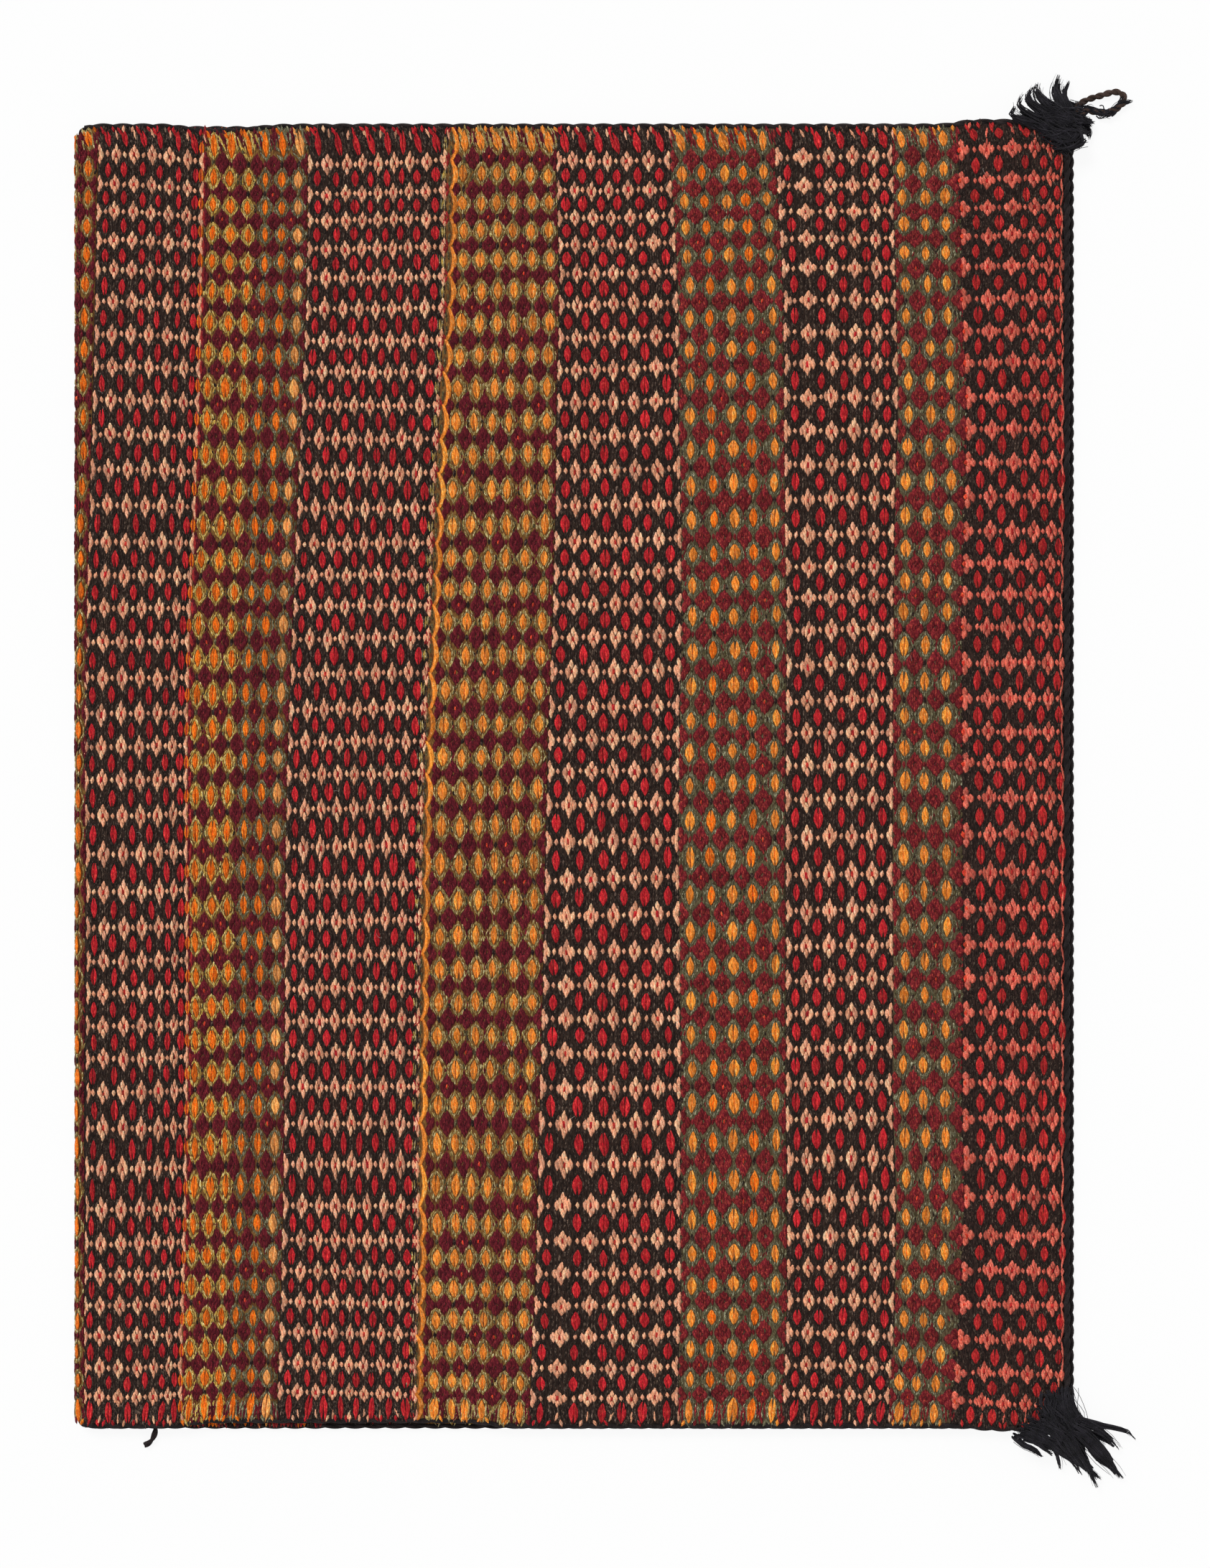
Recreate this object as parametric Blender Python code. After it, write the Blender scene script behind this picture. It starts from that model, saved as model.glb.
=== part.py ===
"""Double saddle blanket of hand-woven wool, folded once across its warps and lying flat.

Metres, +Z up. X runs along the warps, from the fold to the open ends. Y runs along the wefts, from the near
side to the far side. The origin is on the ground under the centre of the blanket's box.

The cloth is a warp sheet inside flat sleeves of weft, one sleeve for each colour band. A place on it is given
by how far along the warps it lies from the middle of the fold (negative in the lower layer), how far across it
lies along the wefts, and how far out it lies from the middle of the cloth's thickness.
"""

import math

import bmesh
import bpy
from mathutils import Vector

# Cloth
WEFT_LENGTH = 0.838  # along Y, over the turns of the wefts at both sides
PANEL_REACH = 0.634  # along X, from the centre of the fold's bend to the last weft
CLOTH_THICK = 0.0050  # one layer: weft, warp and weft
WARP_THICK = 0.0016  # the warps that lie side by side inside a layer
WEFT_TURN = 0.0040  # from the outermost warp to the outside of the wefts' turn
WEFT_ROUND = 0.0018  # how far in from the side the turn rounds off
FOLD_SPACE = 0.0004  # between the two layers
LOWER_SHIFT = 0.0030  # how far the lower layer lies towards the near side
LOWER_EXTRA = 0.0030  # how much further the lower layer reaches
CLEARANCE = 0.0003  # between pieces that touch

# Selvage cords
SIDE_CORD = 0.0044  # diameter, along the far and near sides
END_CORD = 0.0050  # diameter, along the open ends
CORD_LEG = 0.0044  # how far the fold's side cords run on straight
TAIL_CORD = 0.0033  # diameter of the loose end of the near side cord
TAIL_LENGTH = 0.0135
TAIL_REACH = 0.0440  # from the centre of the fold's bend to the tail's root

# Corner tassels
KNOT_WIDTH = 0.0106  # the round root that a tassel swings about
TASSEL_THICK = 0.0046
TASSEL_LENGTH = 0.0430  # from the root's centre to the tip of a full lock
LOCK_WIDTH = 0.0074  # of a lock where it leaves the root
TIP_THICK = 0.0016
ROOT_SHARE = 0.42  # of a lock's length is one mass with its neighbours
ROOM_SHARE = 0.49  # of the angle between two locks that each may take
LOCK_TAPER_SHARES = ((0.0, 1.0, 1.0), (0.45, 0.75, 0.7), (0.8, 0.4, 0.4), (1.0, 0.0, 0.0))  # along, wide, thick

# Loop of twisted cord at the far corner
LOOP_CORD = 0.0036  # diameter

# Steps of the shapes
SLANT_STEPS = 6  # along a band's slanted border
BEND_STEPS = 8  # round the fold
KNOT_STEPS = 16  # round a tassel's root
LOOP_STEPS = 5  # between two points of the loop's route
TUBE_RESOLUTION = 2

# Bands from the fold to the open end. Each border's places are at the near side, the middle and the far side,
# as shares of the panel's reach.
BANDS = ("black_band_1", "gold_band_2", "black_band_3", "gold_band_4", "black_band_5",
         "green_band_6", "black_band_7", "maroon_band_8", "coral_band_9")
BORDER_SHARES = (
    (0.0006, 0.0012, 0.0133),
    (0.0971, 0.1042, 0.1211),
    (0.1981, 0.2085, 0.2323),
    (0.3366, 0.3466, 0.3714),
    (0.4546, 0.4742, 0.4849),
    (0.6069, 0.6094, 0.6009),
    (0.7144, 0.7172, 0.7075),
    (0.8241, 0.8273, 0.8277),
    (0.8890, 0.8980, 0.8940),
    (1.0, 1.0, 1.0),
)

# Locks of a tassel: direction in degrees from +X, length and width as shares of a full lock
FAR_UPPER_LOCK_SHARES = (
    (-62, 0.36, 0.70), (-34, 0.40, 0.60), (0, 0.42, 0.70), (62, 0.42, 0.60),
    (93, 0.66, 0.85), (109, 0.80, 1.00), (129, 0.86, 1.10),
)
FAR_LOWER_LOCK_SHARES = ((-62, 0.40, 0.60), (-38, 0.42, 0.60), (120, 0.72, 0.90), (140, 0.66, 0.90))
NEAR_UPPER_LOCK_SHARES = (
    (-136, 0.68, 0.80), (-108, 0.74, 0.90), (-88, 0.84, 0.90), (-70, 1.00, 1.00),
    (-48, 1.08, 1.00), (-28, 0.80, 0.80), (-12, 0.92, 0.60),
)
NEAR_LOWER_LOCK_SHARES = ((-124, 0.62, 0.90), (-98, 0.84, 0.90), (-58, 0.98, 1.00), (-36, 0.90, 0.90))

# Route of the loop from the far lower tassel's centre, out and back
LOOP_ROUTE = (
    (0.0015, 0.0054), (0.0028, 0.0086), (0.0068, 0.0122), (0.0130, 0.0150), (0.0196, 0.0172),
    (0.0256, 0.0190), (0.0300, 0.0185), (0.0322, 0.0150), (0.0306, 0.0110), (0.0262, 0.0086),
    (0.0204, 0.0070), (0.0148, 0.0052), (0.0098, 0.0028), (0.0056, 0.0013),
)

# Places that follow from the sizes
MID_RADIUS = (FOLD_SPACE + CLOTH_THICK) / 2
BEND_LENGTH = math.pi * MID_RADIUS
FOLD_HEIGHT = CLOTH_THICK + FOLD_SPACE / 2
SLOT_THICK = WARP_THICK + 2 * CLEARANCE
SIDE_EDGE = WEFT_LENGTH / 2
HINGE_BACK = BEND_LENGTH / 2  # the hinge lies half the bend's cloth beyond its centre

BLACK = (0.020, 0.017, 0.016)
COLOURS = {
    "black": (0.045, 0.030, 0.028),
    "gold": (0.400, 0.170, 0.035),
    "green": (0.110, 0.100, 0.050),
    "maroon": (0.110, 0.018, 0.016),
    "coral": (0.300, 0.070, 0.050),
    "fold": (0.180, 0.060, 0.022),
    "warp": (0.500, 0.440, 0.350),
    "loop": (0.055, 0.034, 0.026),
}


def clear_scene():
    for old in list(bpy.data.objects):
        bpy.data.objects.remove(old)


def yarn(name, colour):
    """Matt wool in one colour."""
    material = bpy.data.materials.new(name)
    material.use_nodes = True
    shader = material.node_tree.nodes["Principled BSDF"]
    shader.inputs["Base Color"].default_value = (*colour, 1.0)
    shader.inputs["Roughness"].default_value = 0.9
    shader.inputs["Metallic"].default_value = 0.0
    return material


def pivot(name, place, parent=None):
    """An empty on a joint's axis."""
    empty = bpy.data.objects.new(name, None)
    bpy.context.scene.collection.objects.link(empty)
    empty.parent = parent
    empty.location = place - (parent.matrix_world.translation if parent else Vector())
    bpy.context.view_layer.update()
    return empty


def add_object(name, data, colour, carrier):
    """Links the shape, which is given about its carrier's place."""
    piece = bpy.data.objects.new(name, data)
    bpy.context.scene.collection.objects.link(piece)
    piece.parent = carrier
    data.materials.append(yarn(name, colour))
    return piece


def closed_mesh(name, points, faces, colour, carrier):
    """A closed body from points in the blanket's frame, with its faces turned outwards."""
    middle = carrier.matrix_world.translation
    mesh = bpy.data.meshes.new(name)
    mesh.from_pydata([Vector(p) - middle for p in points], [], faces)
    shape = bmesh.new()
    shape.from_mesh(mesh)
    bmesh.ops.recalc_face_normals(shape, faces=shape.faces)
    shape.to_mesh(mesh)
    shape.free()
    return add_object(name, mesh, colour, carrier)


def lower_share(along):
    """0 in the upper layer, 1 in the lower layer, and between them round the bend."""
    return min(max(0.5 - along / BEND_LENGTH, 0.0), 1.0)


def cloth_point(along, across, out):
    y = across - LOWER_SHIFT * lower_share(along)
    half = BEND_LENGTH / 2
    if abs(along) <= half:
        turn = along / MID_RADIUS
        radius = MID_RADIUS + out
        return (-radius * math.cos(turn), y, FOLD_HEIGHT + radius * math.sin(turn))
    side = math.copysign(1.0, along)
    return (abs(along) - half, y, FOLD_HEIGHT + side * (MID_RADIUS + out))


def reach_along(share, side):
    """How far along the warps a share of the panel's reach lies, in the upper (1) or lower (-1) layer."""
    reach = PANEL_REACH + (LOWER_EXTRA if side < 0 else 0)
    return BEND_LENGTH / 2 + share * reach


def border_share(places, across):
    """A border's share of the reach, on the curve through its places at the near side, middle and far side."""
    near, middle, far = places
    at = across / SIDE_EDGE
    return middle + at * (far - near) / 2 + at * at * ((far + near) / 2 - middle)


def rings(half_width, half_thick, rounding):
    """Points (across, out) round a flat section, near side first, with its sides rounded off."""
    flat = half_width - rounding
    rows = [flat * (2 * i / SLANT_STEPS - 1) for i in range(SLANT_STEPS + 1)]
    top = [(across, half_thick) for across in rows]
    bottom = [(across, -half_thick) for across in reversed(rows)]
    return [(-half_width, 0.0), *top, (half_width, 0.0), *bottom]


def loft(stations):
    """Quads along a list of rings that are each a list of point numbers."""
    faces = []
    for one, two in zip(stations, stations[1:]):
        count = len(one)
        for i in range(count):
            j = (i + 1) % count
            faces.append((one[i], one[j], two[j], two[i]))
    return faces


def sleeve(name, borders, colour, carrier):
    """Wefts over and under the warps: a flat sleeve, open where the warps go in and out.

    Each border gives how far along the warps a point lies that is so far across.
    """
    outer = rings(SIDE_EDGE, CLOTH_THICK / 2, WEFT_ROUND)
    inner = rings(SIDE_EDGE - WEFT_TURN, SLOT_THICK / 2, SLOT_THICK / 2)
    points = []
    stations = {"outer": [], "inner": []}
    for border in borders:
        for part, ring in (("outer", outer), ("inner", inner)):
            first = len(points)
            points += [cloth_point(border(across), across, out) for across, out in ring]
            stations[part].append(range(first, len(points)))
    faces = loft(stations["outer"]) + loft(stations["inner"])
    for end in (0, -1):
        faces += loft([stations["outer"][end], stations["inner"][end]])
    return closed_mesh(name, points, faces, colour, carrier)


def warp_sheet(name, alongs, carrier):
    """The warps of one stretch, which lie side by side as a flat sheet."""
    half_width = SIDE_EDGE - WEFT_TURN - SLOT_THICK / 2
    corners = [(-half_width, -WARP_THICK / 2), (half_width, -WARP_THICK / 2),
               (half_width, WARP_THICK / 2), (-half_width, WARP_THICK / 2)]
    points = []
    stations = []
    for along in alongs:
        first = len(points)
        points += [cloth_point(along, across, out) for across, out in corners]
        stations.append(range(first, len(points)))
    faces = loft(stations) + [tuple(stations[0]), tuple(stations[-1])]
    return closed_mesh(name, points, faces, COLOURS["warp"], carrier)


def tube(name, route, diameter, colour, carrier):
    """A cord along a route in the blanket's frame."""
    middle = carrier.matrix_world.translation
    curve = bpy.data.curves.new(name, "CURVE")
    curve.dimensions = "3D"
    curve.bevel_depth = diameter / 2
    curve.bevel_resolution = TUBE_RESOLUTION
    curve.use_fill_caps = True
    spline = curve.splines.new("POLY")
    spline.points.add(len(route) - 1)
    for point, place in zip(spline.points, route):
        point.co = (*(Vector(place) - middle), 1.0)
    return add_object(name, curve, colour, carrier)


def bend_stations(margin=0.0):
    half = BEND_LENGTH / 2 - margin
    return [half * (2 * i / BEND_STEPS - 1) for i in range(BEND_STEPS + 1)]


def make_layer(layer, side, carrier):
    """The bands, warps and cords of the upper (1) or lower (-1) layer."""

    def border(places, gap):
        return lambda across: side * (reach_along(border_share(places, across), side) + gap)

    for name, start, end in zip(BANDS, BORDER_SHARES, BORDER_SHARES[1:]):
        last_gap = 0.0 if end is BORDER_SHARES[-1] else -CLEARANCE / 2
        borders = [border(start, CLEARANCE / 2), border(end, last_gap)]
        sleeve(f"{layer}_{name}", borders, COLOURS[name.split("_")[0]], carrier)
    start = side * (BEND_LENGTH / 2 + CLEARANCE / 2)
    end = side * reach_along(1.0, side)
    warp_sheet(f"{layer}_warps", [start, end], carrier)
    across = SIDE_EDGE + CLEARANCE + SIDE_CORD / 2
    cord_start = start + side * CORD_LEG
    for place, sign in (("far", 1), ("near", -1)):
        route = [cloth_point(along, sign * across, 0.0) for along in (cord_start, end)]
        tube(f"{layer}_{place}_side_cord", route, SIDE_CORD, BLACK, carrier)
    beyond = end + side * (CLEARANCE + END_CORD / 2)
    length = SIDE_EDGE + CLEARANCE + SIDE_CORD
    route = [cloth_point(beyond, sign * length, 0.0) for sign in (-1, 1)]
    tube(f"{layer}_end_cord", route, END_CORD, BLACK, carrier)


def make_fold(carrier):
    """The band, warps and side cords that turn round the fold."""

    def border(side):
        return lambda across: side * (
            reach_along(border_share(BORDER_SHARES[0], across), side) - CLEARANCE / 2
        )

    bends = [lambda across, along=along: along for along in bend_stations()]
    sleeve("fold_band", [border(-1), *bends, border(1)], COLOURS["fold"], carrier)
    warp_sheet("fold_warps", bend_stations(CLEARANCE / 2), carrier)
    across = SIDE_EDGE + CLEARANCE + SIDE_CORD / 2
    leg = BEND_LENGTH / 2 - CLEARANCE / 2 + CORD_LEG
    for place, sign in (("far", 1), ("near", -1)):
        route = [cloth_point(along, sign * across, 0.0) for along in (-leg, *bend_stations(), leg)]
        tube(f"fold_{place}_side_cord", route, SIDE_CORD, BLACK, carrier)


def tassel_centre(side, sign):
    """Where a corner's tassel swings: outside both cords, so that its root just clears their corner."""
    beyond = reach_along(1.0, side) + CLEARANCE + END_CORD
    across = sign * (SIDE_EDGE + CLEARANCE + SIDE_CORD)
    aside = (KNOT_WIDTH / 2 + CLEARANCE) / math.sqrt(2)
    x, y, z = cloth_point(side * beyond, across, 0.0)
    return Vector((x + aside, y + sign * aside, z))


def lock_outline(angle, length_share, width_share, room):
    """A lock's points (angle, distance, half thickness) from its root to its tip and back.

    Room is the angle that its neighbours leave it on the right and on the left.
    """
    length = TASSEL_LENGTH * length_share
    root = max(KNOT_WIDTH / 2, ROOT_SHARE * length)
    half_width = LOCK_WIDTH * width_share / 2
    sides = []
    for along_share, wide_share, thick_share in LOCK_TAPER_SHARES:
        distance = root + (length - root) * along_share
        turn = math.atan2(half_width * wide_share, distance)
        thick = (TIP_THICK + (TASSEL_THICK - TIP_THICK) * thick_share) / 2
        sides.append((turn, distance, thick))
    right = [(angle - min(turn, room[0]), d, t) for turn, d, t in sides]
    left = [(angle + min(turn, room[1]), d, t) for turn, d, t in reversed(sides[:-1])]
    return right + left


def tassel_outline(lock_shares):
    """Points (angle, distance, half thickness) round a tassel: its locks, and its round root between them."""
    angles = [math.radians(angle) for angle, _, _ in lock_shares]
    gaps = [after - before for before, after in zip(angles, angles[1:])]
    gaps.append(angles[0] + math.tau - angles[-1])
    step = math.tau / KNOT_STEPS
    outline = []
    for i, (_, length_share, width_share) in enumerate(lock_shares):
        room = (ROOM_SHARE * gaps[i - 1], ROOM_SHARE * gaps[i])
        outline += lock_outline(angles[i], length_share, width_share, room)
        next_start = angles[i] + gaps[i] - min(step, gaps[i] / 2)
        turn = outline[-1][0] + step
        while turn < next_start:
            outline.append((turn, KNOT_WIDTH / 2, TASSEL_THICK / 2))
            turn += step
    return outline


def tassel(name, lock_shares, centre, carrier):
    """A round root with flat locks that fan out from it."""
    outline = tassel_outline(lock_shares)
    points = []
    for sign in (-1, 1):
        points += [
            (centre.x + d * math.cos(a), centre.y + d * math.sin(a), centre.z + sign * t)
            for a, d, t in outline
        ]
    count = len(outline)
    points += [centre - Vector((0, 0, TASSEL_THICK / 2)), centre + Vector((0, 0, TASSEL_THICK / 2))]
    faces = []
    for i in range(count):
        j = (i + 1) % count
        faces += [(i, j, count + j, count + i), (j, i, 2 * count), (count + i, count + j, 2 * count + 1)]
    return closed_mesh(name, points, faces, BLACK, carrier)


def smooth_route(knots):
    """Points on a smooth curve through the knots."""
    ends = [2 * knots[0] - knots[1], *knots, 2 * knots[-1] - knots[-2]]
    route = []
    for a, b, c, d in zip(ends, ends[1:], ends[2:], ends[3:]):
        for i in range(LOOP_STEPS):
            t = i / LOOP_STEPS
            bend = (2 * a - 5 * b + 4 * c - d) * t * t + (3 * b - a - 3 * c + d) * t ** 3
            route.append(b + (c - a) * t / 2 + bend / 2)
    return [*route, knots[-1]]


def make_loop(centre, carrier):
    """The twisted cord that leaves the far corner and comes back to it, lying on the ground."""
    knots = [Vector((centre.x + x, centre.y + y, LOOP_CORD / 2)) for x, y in LOOP_ROUTE]
    tube("corner_loop_cord", smooth_route(knots), LOOP_CORD, COLOURS["loop"], carrier)


def make_tail(carrier):
    """The loose end of the lower near side cord."""
    across = SIDE_EDGE + 2 * CLEARANCE + SIDE_CORD
    x, y, z = cloth_point(-(BEND_LENGTH / 2 + TAIL_REACH), -across, 0.0)
    lean = TAIL_LENGTH / 3
    straight = TAIL_CORD
    route = [(x, y, z), (x, y - straight, z), (x - lean / 2, y - straight - (TAIL_LENGTH - straight) / 2, z),
             (x - lean, y - TAIL_LENGTH, z)]
    tube("loose_cord_tail", route, TAIL_CORD, BLACK, carrier)


def centre_on_ground(carriers, left_out):
    """Moves everything so that the origin lies on the ground under the centre of the box of the woven pieces."""
    bpy.context.view_layer.update()
    corners = [
        piece.matrix_world @ Vector(corner)
        for piece in bpy.context.scene.objects
        if piece.type != "EMPTY" and piece.name != left_out
        for corner in piece.bound_box
    ]
    low = [min(c[i] for c in corners) for i in range(3)]
    high = [max(c[i] for c in corners) for i in range(3)]
    shift = Vector(((low[0] + high[0]) / 2, (low[1] + high[1]) / 2, 0.0))
    for carrier in carriers:
        carrier.location -= shift
    bpy.context.view_layer.update()


def main():
    clear_scene()
    lower = pivot("lower_panel", Vector())
    upper = pivot("fold_axis", Vector((-HINGE_BACK, 0.0, FOLD_HEIGHT)))
    make_layer("lower", -1, lower)
    make_layer("upper", 1, upper)
    make_fold(lower)
    for layer, side, panel in (("lower", -1, lower), ("upper", 1, upper)):
        for place, sign in (("far", 1), ("near", -1)):
            centre = tassel_centre(side, sign)
            swing = pivot(f"{layer}_{place}_tassel_axis", centre, panel)
            locks = {
                "lower_far": FAR_LOWER_LOCK_SHARES, "upper_far": FAR_UPPER_LOCK_SHARES,
                "lower_near": NEAR_LOWER_LOCK_SHARES, "upper_near": NEAR_UPPER_LOCK_SHARES,
            }[f"{layer}_{place}"]
            tassel(f"{layer}_{place}_tassel", locks, centre, swing)
            if (side, sign) == (-1, 1):
                make_loop(centre, swing)
    make_tail(lower)
    centre_on_ground((lower, upper), "corner_loop_cord")


main()
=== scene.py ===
"""Double saddle blanket of hand-woven wool, folded once and lying flat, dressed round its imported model.

Metres, +Z up, as in the model. Reach is how far a place lies from the fold's centre along the warps (X in the
upper layer), across is how far it lies from the middle along the wefts (Y), and out is how far it stands off
the middle of the cloth's thickness, towards the outside of the folded blanket.
"""

import math
from collections import namedtuple

import bmesh
import bpy
import numpy as np
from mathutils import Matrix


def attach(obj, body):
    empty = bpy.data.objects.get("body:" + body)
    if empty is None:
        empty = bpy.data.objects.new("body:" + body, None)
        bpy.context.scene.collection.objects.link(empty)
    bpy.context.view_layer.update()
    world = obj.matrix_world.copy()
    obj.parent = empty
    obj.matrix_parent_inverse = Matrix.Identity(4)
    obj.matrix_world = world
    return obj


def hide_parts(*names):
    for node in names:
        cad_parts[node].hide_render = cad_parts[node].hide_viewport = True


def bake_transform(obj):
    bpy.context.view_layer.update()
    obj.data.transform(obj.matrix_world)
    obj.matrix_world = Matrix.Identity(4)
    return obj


bl_info = {
    "name": "Double saddle blanket",
    "version": (1, 0, 0),
    "blender": (4, 5, 0),
    "location": "View3D > Sidebar > Blanket",
    "description": "Weaves a folded double saddle blanket with its cords and tassels",
    "category": "Add Mesh",
}

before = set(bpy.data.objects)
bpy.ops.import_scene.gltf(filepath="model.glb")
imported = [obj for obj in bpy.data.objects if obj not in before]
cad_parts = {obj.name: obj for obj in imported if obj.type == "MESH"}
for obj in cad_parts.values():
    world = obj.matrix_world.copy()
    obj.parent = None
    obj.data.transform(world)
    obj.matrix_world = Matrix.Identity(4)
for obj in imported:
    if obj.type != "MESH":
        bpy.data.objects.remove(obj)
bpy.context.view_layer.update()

# Cloth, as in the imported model
FOLD_X = -0.338378
MIDDLE_Y = 0.00394
HALF_WEFT = 0.419
PANEL_REACH = 0.634
LOWER_EXTRA = 0.003
LOWER_SHIFT = 0.0008
CLOTH_THICK = 0.005
FOLD_SPACE = 0.0004
MID_RADIUS = (FOLD_SPACE + CLOTH_THICK) / 2
HALF_BEND = math.pi * MID_RADIUS / 2
FOLD_HEIGHT = CLOTH_THICK + FOLD_SPACE / 2
SIDE_CORD = 0.0044
END_CORD = 0.0050
CORD_GAP = 0.0003
SIDES = (-1, 1)
MM = 0.001
# How much thicker the cloth stands on the outside of the bend
FOLD_SWELL = 0.0024
# Where the side edges start to be drawn in, over what width, and how the pull fades along the reach
EDGE_ZONE_START, EDGE_ZONE_WIDTH = 0.395, 0.0287
CORNER_FADE, PULL_FADE_IN, PULL_FADE_OUT = 0.0027, 0.004, 0.006
# The picture's size in pixels, a pixel over the cloth's middle line, and where that pixel lies along X
PICTURE_WIDE, PICTURE_HIGH = 1685, 2184
PICTURE_PIXEL = (799, 1081)
PICTURE_X = -0.021328
# How far the side edges are drawn in: at the fold's corners, and along stretches of the upper layer (edge, depth,
# from reach, to reach), all in metres
CORNER_PULL = {1: 0.008, -1: 0.004}
EDGE_PULLS = (
    (-1, 0.0040, 0.070, 0.262), (1, 0.0033, 0.064, 0.112), (1, -0.0034, 0.566, 0.700), (-1, -0.0020, 0.580, 0.700))

# Rows of flowers from the near side to the far side, in millimetres across
FLOWER_ROWS = (
    -418.5, -401.5, -382.6, -362.2, -341.9, -321.7, -300.9, -278.1, -251.6, -225.3,
    -201.8, -179.7, -157.8, -136.2, -114.7, -91.7, -68.2, -43.5, -19.3, 2.6,
    23.5, 44.7, 67.5, 90.3, 111.3, 131.3, 152.0, 175.0, 197.6, 219.7,
    241.4, 263.2, 283.7, 304.7, 324.9, 343.5, 361.5, 379.1, 398.2, 419.0,
)
ROWS = np.array(FLOWER_ROWS) * MM
ROW_PITCH = np.diff(ROWS)
# The pitch that the lens length is meant for
MEAN_PITCH = 0.0214
# Lenses lie between two rows of flowers. The first and the last row of flowers are cut off by the edges
LENS_ROWS = np.arange(len(FLOWER_ROWS) - 1)
FLOWER_ROW_NUMBERS = LENS_ROWS[1:]
# How far the rows wander, in millimetres, at four reaches and every fifth row
WANDER_REACHES = (30.0, 180.0, 344.0, 490.0)
WANDER_ROWS = (0, 5, 10, 15, 20, 25, 30, 35, 37, 38, 39)
WANDER = (
    (0.9, -1.9, -3.5, -6.6, -4.4, -0.5, 3.0, 3.9, 4.8, 5.6, 3.0),
    (0.5, 0.5, 0.7, -1.9, -1.2, -0.5, -0.7, -1.4, -1.4, -1.4, -1.4),
    (-0.5, -0.5, -0.7, 1.9, 1.2, 0.5, 0.7, 1.4, 1.4, 1.4, 1.4),
    (0.9, 2.8, 3.0, 5.6, 4.9, 4.7, 4.4, 4.7, 3.0, 2.0, 0.0),
)

# How far the upper layer's pattern strays along the reach and across, in millimetres, at nine reaches and
# fourteen places from the near side to the far side
DRIFT_REACHES = (31.9, 98.4, 174.3, 259.3, 339.6, 417.8, 487.4, 544.6, 601.5)
DRIFT_PLACES = (-392.4, -371.5, -337.2, -276.5, -204.8, -130.3, -55.9, 18.6, 93.1, 167.6, 242.1, 309.6, 363.1, 393.4)
DRIFT_REACH = (
    (-0.4, -1.0, -0.2, 0.0, -0.2, 0.0, -1.1, -1.0, -3.9),
    (-0.1, 0.0, 0.3, -0.2, -0.1, 0.3, 1.2, 1.6, -1.3),
    (0.3, 0.6, 1.4, 0.7, 1.0, 1.1, 2.0, 2.5, 1.0),
    (1.4, 2.1, 1.7, 0.1, 0.5, 0.2, 1.1, 4.0, 1.8),
    (1.9, 1.9, 0.8, -0.2, 0.3, 0.3, -1.0, 0.3, 1.1),
    (1.6, 1.4, 0.1, -0.2, -0.5, -0.9, 0.2, 0.3, 1.8),
    (0.5, -0.8, -0.6, -1.2, -0.6, -1.9, 0.4, -1.1, 0.7),
    (-1.9, -1.5, -0.6, -0.9, -0.8, -1.0, 0.3, -0.9, -1.6),
    (-1.8, -1.1, 0.4, 0.0, 0.7, 1.7, 1.0, -1.2, -2.6),
    (-0.3, 0.1, 0.5, 0.4, 1.6, 1.7, 0.3, 0.4, 0.1),
    (0.8, 1.1, 0.9, 0.9, 0.5, 1.0, 1.2, 3.2, 0.6),
    (0.8, 0.7, 1.5, 1.6, 1.5, 2.1, 1.8, 1.1, -2.1),
    (0.6, -0.2, 0.0, -0.3, -0.3, 0.6, 0.3, 0.0, -1.1),
    (0.8, -1.4, -1.7, -1.4, -1.7, -1.7, -0.8, -1.2, -1.2),
)
DRIFT_ACROSS = (
    (-2.0, 3.2, 0.2, -1.6, -1.9, 0.8, -1.2, -3.3, -7.1),
    (-1.3, 2.5, 0.0, -0.7, -1.6, 0.9, -2.0, -4.9, -7.1),
    (0.0, 2.5, -0.3, -1.7, -1.0, 1.2, -0.8, -2.3, -3.8),
    (-1.0, 0.8, -1.4, -1.4, 0.3, 1.1, 0.6, 2.1, 1.7),
    (-0.1, 1.2, -0.5, 0.2, -0.5, 0.1, -0.3, -0.1, -0.7),
    (0.7, 0.9, -0.3, 0.5, -0.6, -0.8, -0.1, 0.3, 0.3),
    (-1.7, -0.4, -0.2, -1.2, -0.2, -0.6, -1.2, -0.6, 0.4),
    (-0.3, 0.1, 0.1, -0.8, -0.6, -0.2, -0.3, 0.0, 0.1),
    (-1.7, -1.5, 0.2, -0.4, -1.0, 0.0, 0.1, 0.6, 1.7),
    (-0.2, -1.9, -1.2, -0.6, 0.2, 0.9, 0.3, 0.7, 2.4),
    (-0.7, -1.6, -0.6, -0.9, -0.2, 1.4, -0.1, -0.4, 0.6),
    (-0.9, -2.9, -1.0, -0.4, -0.1, 0.5, -0.6, -0.8, 0.6),
    (0.1, -3.3, 0.1, 1.4, -0.8, 1.2, 0.9, 1.0, 3.3),
    (-0.4, -4.2, -0.4, 2.8, -1.2, 0.3, 1.6, 2.2, 7.3),
)

Column = namedtuple("Column", "places band lens ring fill flower wide")
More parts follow.
